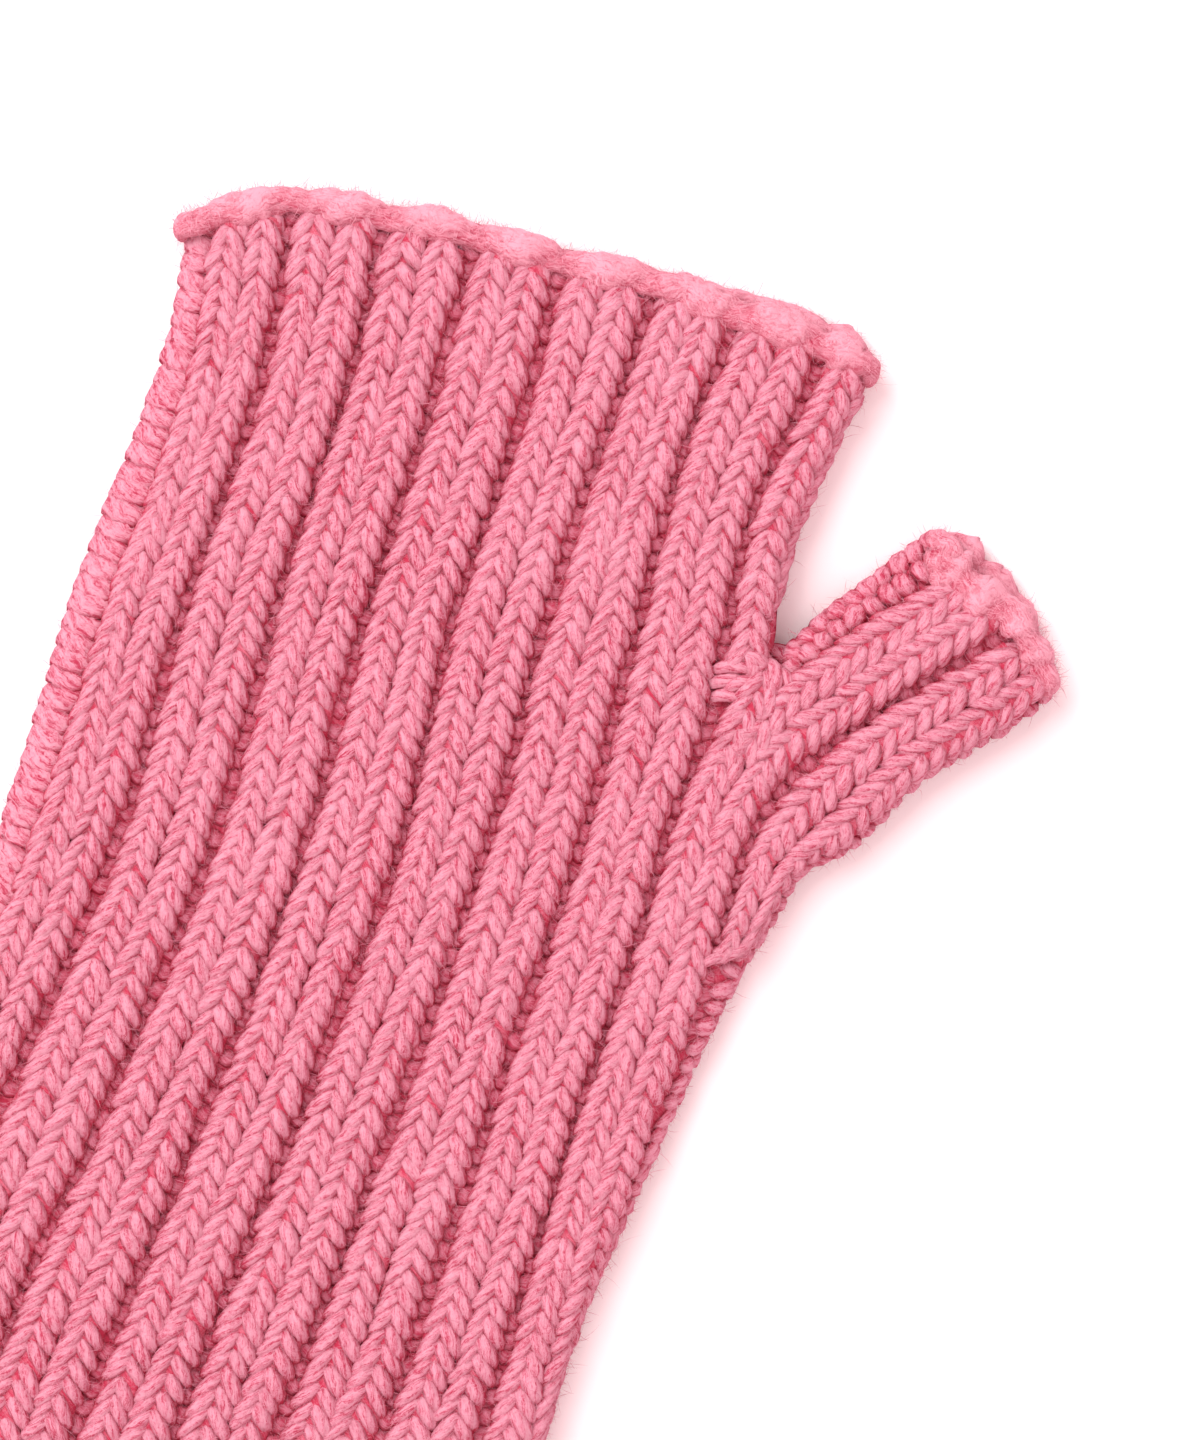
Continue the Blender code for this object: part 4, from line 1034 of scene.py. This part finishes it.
def put_cores(name, material, sides=9):
    """The pressed wool inside each wale: a bar, notched at the legs' points, that they lie on."""
    points, quads, start = [], [], 0
    turn = np.linspace(0, np.pi, sides)
    side = -np.cos(turn)
    notch = CORE_NOTCH * np.exp(-((side - APEX) / CORE_NOTCH_WIDTH) ** 2)
    for wale in wales():
        s = np.arange(0, wale.length, CORE_STEP)
        s = s[to_mouth(wale.at(s, 0 * s), "front", CORE_RUN_ON) > -CORE_ENDS]
        plan = wale.at(s[:, None], side * np.ones((len(s), 1)))
        base, out, room = skin(plan, "front")
        inner = 1 - INNER_LIFT * np.maximum(-wale.outer * side, 0)
        dome = 1 - inner * (1 - np.sin(turn) ** 0.6)
        low_edge = RIB_DOME * np.maximum(wale.outer * side, 0) ** 2
        crest = RIB_HEIGHT * room - CORE_SUNK - low_edge - notch
        high = crest * dome - CORE_FALL * (1 - dome)
        points.append((base + out * high[..., None]).reshape(-1, 3))
        quads.append(grid_faces(len(s), sides) + start)
        start += len(s) * sides
    points, quads = np.concatenate(points), np.concatenate(quads)
    # the bar is painted with an even shade, as it lies sunk under the legs
    return put_mesh(name, points, [quads], material, uv=points[quads.ravel(), :2] * UV_ACROSS,
                    values={"depth": np.full(len(points), FLAT_SHADE),
                            "tone": np.full(len(points), CORE_TONE)})


def unbroken(centre, longest):
    """Which strands run without a jump from one fold to another, by their longest step."""
    return np.linalg.norm(np.diff(centre, axis=1), axis=-1).max(axis=1) < longest


def bumps(kinds, strand, pitch, unevenness, seed):
    """The middles of the purl bumps of some kinds, their up vectors, half sizes and painted shade.
    """
    luck = np.random.default_rng(seed)
    found = []
    place, sag, height, thick = BUMP_RINGS.T
    for kind in kinds:
        look = dict(zip(BUMP_LOOK, BUMP_LOOKS[kind]))
        for wale in bump_columns()[kind]:
            s = stitch_places(wale, pitch, luck, unevenness) + pitch * luck.random()
            s = s[to_mouth(wale.at(s, 0.0 * s), "front", BUMP_RUN_ON) > -UNDER_ROLL]
            random = unevenness * luck.normal(0, 1, (4, len(s), 1))
            along = (s[:, None] - look["sag"] * sag + look["turn"] * random[0] * place
                     + look["slant"] * (1 + BUMP_SPREAD["slant"] * random[1]) * place)
            base, out, _ = skin(wale.at(along, place * np.ones((len(s), 1))), "front")
            high = (look["lift"] + height - look["tall"] * strand
                    + BUMP_SPREAD["height"] * random[2])
            scale = thick * (1 + BUMP_SPREAD["size"] * random[3])
            # painted shade: each kind's own amount, more towards a bump's two ends
            depth = np.broadcast_to(look["pressed"] + 0.3 * np.abs(place), scale.shape)
            centre = base + out * high[..., None]
            kept = unbroken(centre, LONGEST_BUMP_STEP)
            found.append([part[kept] for part in (
                centre, out, look["wide"] * strand * scale, look["tall"] * strand * scale, depth)])
    return [np.concatenate(parts) for parts in zip(*found)]


def pick_ups():
    """The strands picked up in the crotch to start the thumb, each bowed to its left."""
    row = {name: PICK_UPS[:, i:i + 1] for i, name in enumerate(PICK_UP)}
    start = np.hstack((row["from_x"], row["from_y"]))[:, None]
    run = np.hstack((row["to_x"], row["to_y"]))[:, None] - start
    t = np.linspace(0, 1, 9)[:, None]
    left = unit(np.stack((-run[..., 1], run[..., 0]), axis=-1))
    arch = 4 * t * (1 - t)
    plan = start + t * run + row["bow"][:, None] * arch * left
    base, out, _ = skin(plan, "front")
    arch = arch[:, 0]
    high = PICK_UP_RISE + row["lift"] - PICK_UP_DIP * (1 - arch) ** 2
    centre = base + out * high[..., None]
    size = 0.62 + 0.40 * np.sqrt(arch) * np.ones((len(plan), 1))
    # painted shade, deepest at the ends where a strand dips into the cloth
    depth = 0.2 + 0.6 * (1 - arch) ** 2 * np.ones((len(plan), 1))
    return centre, out, size, depth


# ------------------------------------------------------------------------------------ cloth shells

CLOTH_INSET = {"front": 0.95, "back": 1.1}    # from the layer's skin in to the shell
FOLD_INSET = 0.60         # the same on the fold line
CLOTH_WALL = 0.8          # the shell's thickness
CLOTH_STEP = 5.0          # its rows' step on the arm
HAND_TOP_Y = 140.0        # where the right-hand fold meets the finger end
THUMB_OVERLAP = 1.0       # how far the thumb's shell starts below its seam


def grid_faces(rows, columns, flip=False):
    """The quads of a grid of rows by columns points."""
    i, j = np.meshgrid(np.arange(rows - 1), np.arange(columns - 1), indexing="ij")
    a = (i * columns + j).ravel()
    quads = np.stack((a, a + 1, a + columns + 1, a + columns), axis=1)
    return quads[:, ::-1] if flip else quads


def blend_lines(left, right, share):
    """Plan points between two lines: shares across them, row by row."""
    return left[:, None] + share[:, None] * (right - left)[:, None]


def eased(count):
    """Shares from 0 to 1 whose steps are finest at both ends, where the folds are."""
    return 0.5 - 0.5 * np.cos(np.linspace(0, np.pi, count))


def body_grids():
    """The body in plan as two grids that share a border: arm and hand, and arm and gusset."""
    arm = np.arange(ARM_MOUTH_Y, GUSSET_BASE_Y - 1, CLOTH_STEP)
    rows = np.linspace(0, len(GUSSET_ROWS) - 1, 22)
    border = gusset("inner", rows)
    hand = np.linspace(0, 1, 12)
    top_x = section("right", HAND_TOP_Y)
    right_top = float(mouth_at(FINGER_FRONT, top_x))
    hand_y = CROTCH[1] + hand * (right_top - CROTCH[1])
    share = eased(60)
    low = np.concatenate((arm, border[:, 1]))
    right = np.concatenate((tube_line("g7", arm), border, tube_line("right", hand_y)))
    left = tube_line("left", np.concatenate((low, hand_y)))
    grid = blend_lines(left, right, share)
    # above the crotch each column runs on to its own place on the slanted finger end
    for _ in range(3):
        end = mouth_at(FINGER_FRONT, grid[len(low):, :, 0])
        y = CROTCH[1] + hand[:, None] * (end - CROTCH[1])
        at_left, at_right = section("left", y), section("right", y)
        grid[len(low):] = np.stack((at_left + share * (at_right - at_left), y), axis=-1)
    side = blend_lines(np.concatenate((tube_line("g7", arm), border)),
                       np.concatenate((tube_line("right", arm), gusset("fold", rows))),
                       np.linspace(0, 1, 16) ** 0.8)
    return grid, side


def thumb_grid():
    """The thumb in plan, from its seam to its tip."""
    share = eased(26)
    up = np.linspace(0, 1, 12)
    t = thumb("upper", 0.0) + share * (thumb("lower", 0.0) - thumb("upper", 0.0))
    for _ in range(3):
        s = -THUMB_OVERLAP + up[:, None] * (mouth_at(THUMB_FRONT, t) + THUMB_OVERLAP)
        t = thumb("upper", s) + share * (thumb("lower", s) - thumb("upper", s))
    return on_thumb(s, t)


def put_shell(name, grids, material):
    """A thin two-layered tube of cloth over plan grids, closed along the folds."""
    points, faces, start = [], [], 0
    for layer in ("front", "back"):
        for grid in grids:
            base, out, _ = skin(grid, layer)
            at_fold = np.isclose(base[..., 2], FOLD_Z, atol=0.02)
            inset = np.where(at_fold, FOLD_INSET, CLOTH_INSET[layer])[..., None]
            _, inwards = from_fold(grid.reshape(-1, 2))
            level = np.column_stack((-inwards, np.zeros(len(inwards)))).reshape(*grid.shape[:2], 3)
            out = np.where(at_fold[..., None], level, out)
            points.append((base - inset * out).reshape(-1, 3))
            faces.append(grid_faces(*grid.shape[:2], flip=layer == "back") + start)
            start += grid.shape[0] * grid.shape[1]
    points, faces = np.concatenate(points), np.concatenate(faces)
    # points that the grids share, to 0.02 mm, become one
    _, first, same = np.unique(np.round(points * 50).astype(int), axis=0, return_index=True,
                               return_inverse=True)
    points, faces = points[first], same.ravel()[faces]
    ordered = np.sort(faces, axis=1)
    faces = faces[(np.diff(ordered, axis=1) > 0).all(axis=1)]
    # the shell is painted with the same even shade, as it lies under the stitches
    piece = put_mesh(name, points, [faces], material, points[faces.ravel(), :2] * UV_ACROSS,
                     {"depth": np.full(len(first), FLAT_SHADE),
                      "tone": np.full(len(first), CLOTH_TONE)})
    wall = piece.modifiers.new("cloth", "SOLIDIFY")
    wall.thickness = CLOTH_WALL * MM
    wall.offset = -1.0
    return piece


# ------------------------------------------------------------------------------------ rolled edges

# Half width of each roll with its nap, by place across from left to right
FINGER_SOFT = ((-63.0, 2.5), (-50.0, 2.3), (0.0, 2.5), (16.0, 2.8), (29.0, 2.5))
ARM_SOFT = ((-65.0, 2.2), (38.0, 2.2))
THUMB_SOFT = ((-1.6, 2.6), (3.0, 3.3), (8.0, 3.5), (12.0, 2.7), (17.0, 2.3), (25.0, 2.2))
THUMB_CREASES = (6.2, 12.0, 17.2)     # where the thumb's roll is drawn in, by place across

# Shares of a roll's size: its swell over each rib, the slanting creases between, and its lumps,
# as waves with their number, shortest and longest length in millimetres
RIB_SWELL = 0.13
CREASE = 0.12
LUMPS = ((0.085, 7, 5.0, 14.0), (0.045, 12, 2.0, 5.0))
ROLL_STEP = 0.42          # between two rings of a roll
TALLEST = 1.1             # a roll's height stays under this share of its own size


def roll_path(front, back):
    """The middle line of a rolled edge: over the front layer, round a fold, and back behind."""
    middle_z = 0.5 * (ROLL_FRONT_Z + ROLL_BACK_Z)
    angles = np.linspace(0, np.pi, 14)[1:-1]

    def half_turn(end, before, rising):
        """Points round a fold, on past the end of a line."""
        plan = end + np.outer(ROLL_TURN * np.sin(angles), unit(end - before))
        rise = ROLL_TURN if rising else -ROLL_TURN
        return np.column_stack((plan, middle_z - rise * np.cos(angles)))

    def level(points, z):
        """Plan points at one height."""
        return np.column_stack((points, np.full(len(points), z)))

    right_ends = 0.5 * (front[[-4, -1]] + back[[-4, -1]])
    left_ends = 0.5 * (front[[0, 3]] + back[[0, 3]])
    path = np.concatenate((level(front, ROLL_FRONT_Z),
                           half_turn(right_ends[1], right_ends[0], False),
                           level(back[::-1], ROLL_BACK_Z),
                           half_turn(left_ends[0], left_ends[1], True)))
    closed = np.concatenate((path, path[:1]))
    along = np.concatenate(([0], np.cumsum(np.linalg.norm(np.diff(closed, axis=0), axis=1))))
    at = np.linspace(0, along[-1], int(along[-1] / ROLL_STEP), endpoint=False)
    return np.stack([np.interp(at, along, closed[:, k]) for k in range(3)], axis=1), at


def soft_waves(along, turn, luck, waves, shortest, longest):
    """Lumpy noise on a closed roll: a sum of waves of random length, slant and phase."""
    whole = along[-1] + along[1]
    total = 0.0
    for _ in range(waves):
        length = luck.uniform(shortest, longest)
        cycles = max(1, round(whole / length))
        wraps = luck.integers(-2, 3)
        total = total + np.sin(2 * np.pi * cycles * along[:, None] / whole + wraps * turn
                               + luck.uniform(0, 2 * np.pi))
    return total / np.sqrt(waves)


def soft_line(line, widths):
    """The middle of a soft roll whose outer side is the line."""
    half = np.interp(line[:, 0], *np.transpose(widths))
    return line + half[:, None] * right_of(line)


def roll_span(ends, count):
    """Places across a roll, from one of its half turns to the other."""
    room = ROLL_TURN + ROLL_HALF_HEIGHT
    return np.linspace(ends[0] + room, ends[1] - room, count)


def finger_roll():
    """The roll's middle on the front and on the back layer, and where it is drawn in."""
    x = roll_span(FINGER_ENDS, 60)
    front, back = (np.stack((x, np.interp(x, *soft_line(line, FINGER_SOFT).T)), axis=1)
                   for line in (FINGER_FRONT, FINGER_BACK))
    return front, back, [x[0], *(float(section(name, FINGER_MOUTH_Y)) for name in GROOVES), x[-1]]


def arm_roll():
    """The same for the straight roll at the arm's end."""
    x = roll_span(ARM_ENDS, 60)
    level = np.stack((x, np.full(len(x), ARM_LINE_Y + ARM_SOFT[0][1])), axis=1)
    return level, level, [x[0], *(float(section(name, ARM_MOUTH_Y)) for name in GROOVES), x[-1]]


def thumb_roll():
    """The same for the thumb's roll."""
    t = roll_span(THUMB_ENDS, 40)
    front, back = (on_thumb(np.interp(t, *soft_line(line, THUMB_SOFT).T), t)
                   for line in (THUMB_FRONT, THUMB_BACK))
    return front, back, [t[0], *THUMB_CREASES, t[-1]]


def put_roll(name, front, back, drawn_in, sideways, widths, across, material, seed, sides=26):
    """A rolled, felted edge: a cord whose thickness swells over each rib and creases between.

    drawn_in holds the places across where it is thin, sideways is the plan's way out of the
    opening, and across gives the place across of plan points. Its radius is the cord's half size
    times one plus the swell of the ribs under it, slanting creases and two sizes of lumps.
    """
    luck = np.random.default_rng(seed)
    path, along = roll_path(front, back)
    run = unit(np.roll(path, -1, axis=0) - np.roll(path, 1, axis=0))
    side = np.array((*sideways, 0.0))
    side = unit(side - (run @ side)[:, None] * run)
    up = np.cross(run, side)
    turn = np.linspace(0, 2 * np.pi, sides, endpoint=False)
    place = across(path[:, :2])
    phase = np.interp(place, drawn_in, np.arange(len(drawn_in)))
    swell = -RIB_SWELL * (1 + np.cos(2 * np.pi * phase))[:, None]
    crease = -CREASE * np.maximum(0, np.cos(2 * np.pi * phase[:, None] * 2 + 1.2 * turn)) ** 3
    lumps = sum(share * soft_waves(along, turn, luck, *waves) for share, *waves in LUMPS)
    size = 1 + swell + crease + lumps
    soft = np.interp(place, *np.transpose(widths))[:, None]
    wide, tall = soft * size, ROLL_HALF_HEIGHT * np.minimum(size, TALLEST)
    points = (path[:, None] + (wide * np.cos(turn))[..., None] * side[:, None]
              + (tall * np.sin(turn))[..., None] * up[:, None])
    points[..., 2] = np.maximum(points[..., 2], TABLE_CLEAR)
    rows = len(path)
    i, k = np.meshgrid(np.arange(rows), np.arange(sides), indexing="ij")
    next_row, next_side = (i + 1) % rows, (k + 1) % sides
    quads = np.stack((i * sides + k, next_row * sides + k, next_row * sides + next_side,
                      i * sides + next_side), axis=-1).reshape(-1, 4)
    # painted shade: deeper in the creases, where the roll is thin, in the dips between lumps, and
    # on the side turned against sideways
    depth = np.clip(-(crease + swell) * 2.2 - 2.0 * lumps + 0.25 - 0.45 * np.cos(turn), 0, 1)
    at = np.stack((i, i + 1, i + 1, i), axis=-1) * along[1]
    round_by = np.stack((k, k, k + 1, k + 1), axis=-1) * 2 * np.pi * ROLL_HALF_WIDTH / sides
    piece = put_mesh(name, points.reshape(-1, 3), [quads], material,
                     np.stack((at, round_by), axis=-1), {"depth": depth})
    out = unit(points - path[:, None])
    return piece, (points, out, np.broadcast_to(run[:, None], out.shape))


# ------------------------------------------------------------------------------------ loose fibres

def put_nap(name, root, out, lead, width, material, luck):
    """A nap of short fibres, each a single slim triangle that leans over the wool."""
    length, lift = (luck.uniform(*limits, len(root)) for limits in FIBRES[name])
    half = 0.5 * width * unit(np.cross(lead, out))
    end = root + length[:, None] * lead + lift[:, None] * out
    points = np.stack((root - half, root + half, end), axis=1)
    points[..., 2] = np.maximum(points[..., 2], TABLE_CLEAR)
    triangles = np.arange(3 * len(root)).reshape(-1, 3)
    return put_mesh(name, points.reshape(-1, 3), [triangles], material,
                    values={"tone": np.repeat(luck.uniform(0.45, 1.0, len(root)), 3)})


def put_fibres(name, root, out, lead, width, tones, material, luck, steps=3):
    """Loose fibres as slim strips, pointed at both ends, that leave the wool and curl over.

    root is where each starts, out the way out of the wool, and lead the way it runs. A fibre is
    the parabola root + t length lead + (1.6 t - t t) lift out + (t t) curl, where curl is a random
    vector across its run. steps is how many straight runs it has.
    """
    count = len(root)
    length, lift = (luck.uniform(*limits, count) for limits in FIBRES[name])
    curl = luck.normal(0, 1, (count, 3))
    curl -= (curl * lead).sum(-1, keepdims=True) * lead
    curl -= 0.75 * (curl * out).sum(-1, keepdims=True) * out
    length, lift = length[:, None, None], lift[:, None, None]
    t = np.linspace(0, 1, steps + 1)[:, None]
    path = (root[:, None] + t * length * lead[:, None] + (1.6 * t - t * t) * lift * out[:, None]
            + 0.42 * t * t * length * curl[:, None])
    side = unit(np.cross(lead, out))
    half = 0.5 * width * side[:, None]
    points = np.concatenate((path[:, :1], path[:, 1:-1] - half, path[:, 1:-1] + half,
                             path[:, -1:]), axis=1)
    points[..., 2] = np.maximum(points[..., 2], TABLE_CLEAR)
    inner = steps - 1
    left, right, last = 1 + np.arange(inner), 1 + inner + np.arange(inner), 2 * inner + 1
    strip = [(0, left[0], right[0]), (left[-1], last, right[-1])]
    for a, b, c, d in zip(left[:-1], left[1:], right[:-1], right[1:]):
        strip += [(a, b, c), (b, d, c)]
    triangles = np.array(strip) + (last + 1) * np.arange(count)[:, None, None]
    tone = np.repeat(luck.uniform(*tones, count), last + 1)
    return put_mesh(name, points.reshape(-1, 3), [triangles.reshape(-1, 3)], material,
                    values={"tone": tone})


ROOTS = {}      # where fibres can grow, by the name of the piece


def strand_roots(names, count, low, high, luck):
    """Random points on strands of the named pieces, from angle low to high round them.

    The angles are shares of a half turn. Gives the points, the ways out and the fibres' leads.
    """
    parts = [np.concatenate([ROOTS[name][k].reshape(-1, *ROOTS[name][k].shape[2:])
                             for name in names]) for k in range(5)]
    pick = luck.integers(0, len(parts[0]), count)
    centre, side, top, wide, tall = (part[pick] for part in parts)
    angle = luck.uniform(low, high, count) * np.pi
    out = np.cos(angle)[:, None] * side + np.sin(angle)[:, None] * top
    root = (centre + (0.95 * wide * np.cos(angle))[:, None] * side
            + (0.95 * tall * np.sin(angle))[:, None] * top)
    run = np.cross(top, side)
    turn = luck.normal(0, 0.8, count)[:, None]
    lead = unit(run * np.cos(turn) + np.cross(out, run) * np.sin(turn)
                + 0.2 * luck.normal(0, 1, run.shape))
    return root, out, lead * luck.choice((-1, 1), count)[:, None]


def roll_roots(names, count, luck):
    """Random points in the nap of the named rolls, with the ways out and the fibres' leads."""
    points, out, run = (np.concatenate([ROOTS[name][k].reshape(-1, 3) for name in names])
                        for k in range(3))
    pick = luck.integers(0, len(points), count)
    turn = luck.uniform(0, 2 * np.pi, count)[:, None]
    cross = np.cross(out[pick], run[pick])
    lead = unit(run[pick] * np.cos(turn) + cross * np.sin(turn)
                + 0.3 * luck.normal(0, 1, cross.shape))
    root = points[pick] - 0.1 * out[pick] + 0.15 * luck.normal(0, 1, cross.shape)
    root[:, 2] = np.maximum(root[:, 2], 0.1)
    return root, out[pick], lead


# --------------------------------------------------------------------------------------- operators

def settings():
    """The sizes, colours and studio settings of the scene."""
    scene = bpy.context.scene
    return scene.knit_sizes, scene.wool_colours, scene.studio_settings


class WARMER_OT_cloth(bpy.types.Operator):
    """Makes the thin cloth of the body and of the thumb under the stitches"""
    bl_idname = "warmer.cloth"
    bl_label = "Cloth shells"

    def execute(self, context):
        _, colours, _ = settings()
        body = put_shell("body_cloth", body_grids(), groove_wool(colours))
        thumb_shell = put_shell("thumb_cloth", [thumb_grid()], groove_wool(colours))
        for piece, solid in ((body, "body_tube"), (thumb_shell, "thumb_tube")):
            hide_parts(solid)
        return {"FINISHED"}


class WARMER_OT_stitches(bpy.types.Operator):
    """Knits the legs of the stitches on both layers, over the pressed wool inside the ribs"""
    bl_idname = "warmer.stitches"
    bl_label = "Stitches"

    def execute(self, context):
        sizes, colours, _ = settings()
        strand, pitch = sizes.strand / MM, sizes.row_pitch / MM
        wool = rib_wool(colours)
        hands = (("left", LEFT_LEG, sizes.left_leg), ("right", RIGHT_LEG, sizes.right_leg))
        seed = 11
        for layer, sides, steps in (("front", 6, slice(None)), ("back", 4, BACK_STEPS)):
            for hand, rings, length in hands:
                seed += 1
                centre, up, scale, depth = legs(rings[steps], layer, length / MM, strand, pitch,
                                                sizes.unevenness, seed)
                luck = np.random.default_rng(seed + 50)
                name = f"{layer}_{hand}_legs"
                piece, ROOTS[name] = put_strands(
                    name, centre, up, 0.5 * strand * PLUMP[hand] * scale,
                    LEG_HALF_HEIGHT * strand * scale, sides, depth, luck.random(len(centre)), wool)
        put_cores("rib_cores", wool)
        return {"FINISHED"}


class WARMER_OT_crossings(bpy.types.Operator):
    """Makes the short strands that cross: the crotch's pick-ups and the purl columns' bumps"""
    bl_idname = "warmer.crossings"
    bl_label = "Crossing strands"

    def execute(self, context):
        sizes, colours, _ = settings()
        strand, pitch = sizes.strand / MM, sizes.row_pitch / MM
        centre, up, scale, depth = pick_ups()
        luck = np.random.default_rng(41)
        piece, ROOTS["pick_up_strands"] = put_strands(
            "pick_up_strands", centre, up, 0.52 * strand * scale, 0.5 * strand * scale, 8, depth,
            luck.random(len(centre)), rib_wool(colours))
        for name, kinds, wool in (
                ("side_purl_bumps", ("left", "right", "thumb"), rib_wool(colours)),
                ("groove_purl_bumps", ("groove",), groove_wool(colours))):
            centre, up, wide, tall, depth = bumps(kinds, strand, pitch, sizes.unevenness, 31)
            luck = np.random.default_rng(32)
            piece, ROOTS[name] = put_strands(name, centre, up, wide, tall, 6, depth,
                                             luck.random(len(centre)), wool)
        return {"FINISHED"}


class WARMER_OT_rolled_edges(bpy.types.Operator):
    """Makes the rolled, felted edge round each of the three openings"""
    bl_idname = "warmer.rolled_edges"
    bl_label = "Rolled edges"

    def execute(self, context):
        _, colours, _ = settings()
        wool = use("felted_wool", felted_wool, colours)
        for name, solid, lines, sideways, widths, across, seed in (
                ("finger_roll", "finger_edge", finger_roll(), (0.0, 1.0), FINGER_SOFT,
                 across_tube, 61),
                ("arm_roll", "arm_edge", arm_roll(), (0.0, 1.0), ARM_SOFT, across_tube, 62),
                ("thumb_roll", "thumb_edge", thumb_roll(), ALONG, THUMB_SOFT, across_thumb, 63)):
            piece, ROOTS[name] = put_roll(name, *lines, sideways, widths, across, wool, seed)
            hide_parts(solid)
        return {"FINISHED"}


class WARMER_OT_fibres(bpy.types.Operator):
    """Grows the loose fibres that give the wool its halo"""
    bl_idname = "warmer.fibres"
    bl_label = "Loose fibres"

    def execute(self, context):
        sizes, colours, _ = settings()
        luck = np.random.default_rng(71)
        width = sizes.fibre / MM
        wool = use("loose_wool_fibres", loose_fibre, colours.halo)
        rooted = ("front_left_legs", "front_right_legs", "side_purl_bumps", "groove_purl_bumps")

        roots = strand_roots(rooted, sizes.rib_fibres, 0.05, 0.95, luck)
        put_nap("rib_fibres", *roots, width, wool, luck)
        roots = strand_roots(rooted, sizes.groove_fibres, 0.15, 0.85, luck)
        # their low tones paint these fibres dark, standing in for the shade of the grooves and
        # crevices they cross
        piece = put_fibres("groove_fibres", *roots, width, (0.0, 0.45), wool, luck)
        rolls = ("finger_roll", "thumb_roll", "arm_roll")
        roots = roll_roots(rolls, sizes.edge_fibres, luck)
        piece = put_fibres("edge_fibres", *roots, width, (0.4, 1.0), wool, luck)
        return {"FINISHED"}


class WARMER_OT_declare(bpy.types.Operator):
    bl_idname = "warmer.declare"
    bl_label = "Declare the cloth"

    def execute(self, context):
        return {"FINISHED"}


TABLE_HALF = 1.5
TABLE_Z = -0.00005    # just under the cloth

# Each softbox: its name, place, size, power in watts and colour
SOFTBOXES = (
    ("key_softbox", (-0.85, 0.55, 1.05), 1.1, 19.4, (1.0, 1.0, 0.99)),
    ("fill_softbox", (0.5, -0.5, 1.2), 1.4, 7.0, (1.0, 0.85, 0.86)))
ROOM_COLOUR = (1.0, 0.70, 0.72, 1.0)
ROOM_LIGHT = 0.9


def put_softbox(target, name, place, size, watts, colour):
    """A square area light, turned to its target."""
    light = bpy.data.lights.new(name, "AREA")
    light.shape = "RECTANGLE"
    light.size = light.size_y = size
    light.energy = watts
    light.color = colour
    box = bpy.data.objects.new(name, light)
    bpy.context.scene.collection.objects.link(box)
    box.location = place
    box.rotation_mode = "QUATERNION"
    way = np.array(target) - np.array(place)
    box.rotation_quaternion = Vector(way).to_track_quat("-Z", "Y")


class WARMER_OT_stage(bpy.types.Operator):
    """Sets up the table, the soft lights and the camera"""
    bl_idname = "warmer.stage"
    bl_label = "Stage"

    def execute(self, context):
        _, _, studio = settings()
        scene = context.scene
        corners = [(TABLE_HALF * x, TABLE_HALF * y, TABLE_Z)
                   for x, y in ((-1, -1), (1, -1), (1, 1), (-1, 1))]
        mesh = bpy.data.meshes.new("table_top")
        mesh.from_pydata(corners, [], [(0, 1, 2, 3)])
        mesh.materials.append(use("white_laminate", table_top, tuple(studio.table)))
        table = bpy.data.objects.new("table_top", mesh)
        scene.collection.objects.link(table)

        centre = tuple(studio.view_centre)
        for softbox in SOFTBOXES:
            put_softbox(centre, *softbox)
        world = bpy.data.worlds.new("studio")
        world.use_nodes = True
        room = world.node_tree.nodes["Background"].inputs
        room[0].default_value, room[1].default_value = ROOM_COLOUR, ROOM_LIGHT
        scene.world = world
        scene.view_settings.view_transform = "Standard"

        camera = bpy.data.cameras.new("camera")
        camera.lens = studio.lens
        camera.sensor_width = 36.0
        view = bpy.data.objects.new("camera", camera)
        scene.collection.objects.link(view)
        distance = studio.view_height * studio.lens / camera.sensor_width
        view.location = (centre[0], centre[1], centre[2] + distance)
        view.rotation_euler = (0.0, 0.0, studio.view_turn)
        camera.clip_start, camera.clip_end = 0.01, 10.0
        scene.camera = view
        return {"FINISHED"}


class WARMER_PT_panel(bpy.types.Panel):
    """Lists the sizes, the colours and the steps"""
    bl_label = "Arm warmer"
    bl_idname = "WARMER_PT_panel"
    bl_space_type = "VIEW_3D"
    bl_region_type = "UI"
    bl_category = "Arm warmer"

    def draw(self, context):
        for group in (context.scene.knit_sizes, context.scene.wool_colours,
                      context.scene.studio_settings):
            for name in group.__annotations__:
                self.layout.prop(group, name)
        for step in STEPS:
            self.layout.operator(step.bl_idname)


STEPS = (WARMER_OT_cloth, WARMER_OT_stitches, WARMER_OT_crossings, WARMER_OT_rolled_edges,
         WARMER_OT_fibres, WARMER_OT_stage, WARMER_OT_declare)
GROUPS = {"knit_sizes": KnitSizes, "wool_colours": WoolColours,
          "studio_settings": StudioSettings}


def register():
    """Adds the settings, the steps and the panel to Blender."""
    for group in GROUPS.values():
        bpy.utils.register_class(group)
    for name, group in GROUPS.items():
        setattr(bpy.types.Scene, name, bpy.props.PointerProperty(type=group))
    for made in (*STEPS, WARMER_PT_panel):
        bpy.utils.register_class(made)


def unregister():
    """Takes them out again."""
    for made in (WARMER_PT_panel, *reversed(STEPS)):
        bpy.utils.unregister_class(made)
    for name, group in GROUPS.items():
        delattr(bpy.types.Scene, name)
        bpy.utils.unregister_class(group)


def main():
    """Makes everything in order."""
    register()
    bpy.ops.warmer.cloth()
    bpy.ops.warmer.stitches()
    bpy.ops.warmer.crossings()
    bpy.ops.warmer.rolled_edges()
    bpy.ops.warmer.fibres()
    bpy.ops.warmer.stage()
    bpy.ops.warmer.declare()


if __name__ == "__main__":
    main()
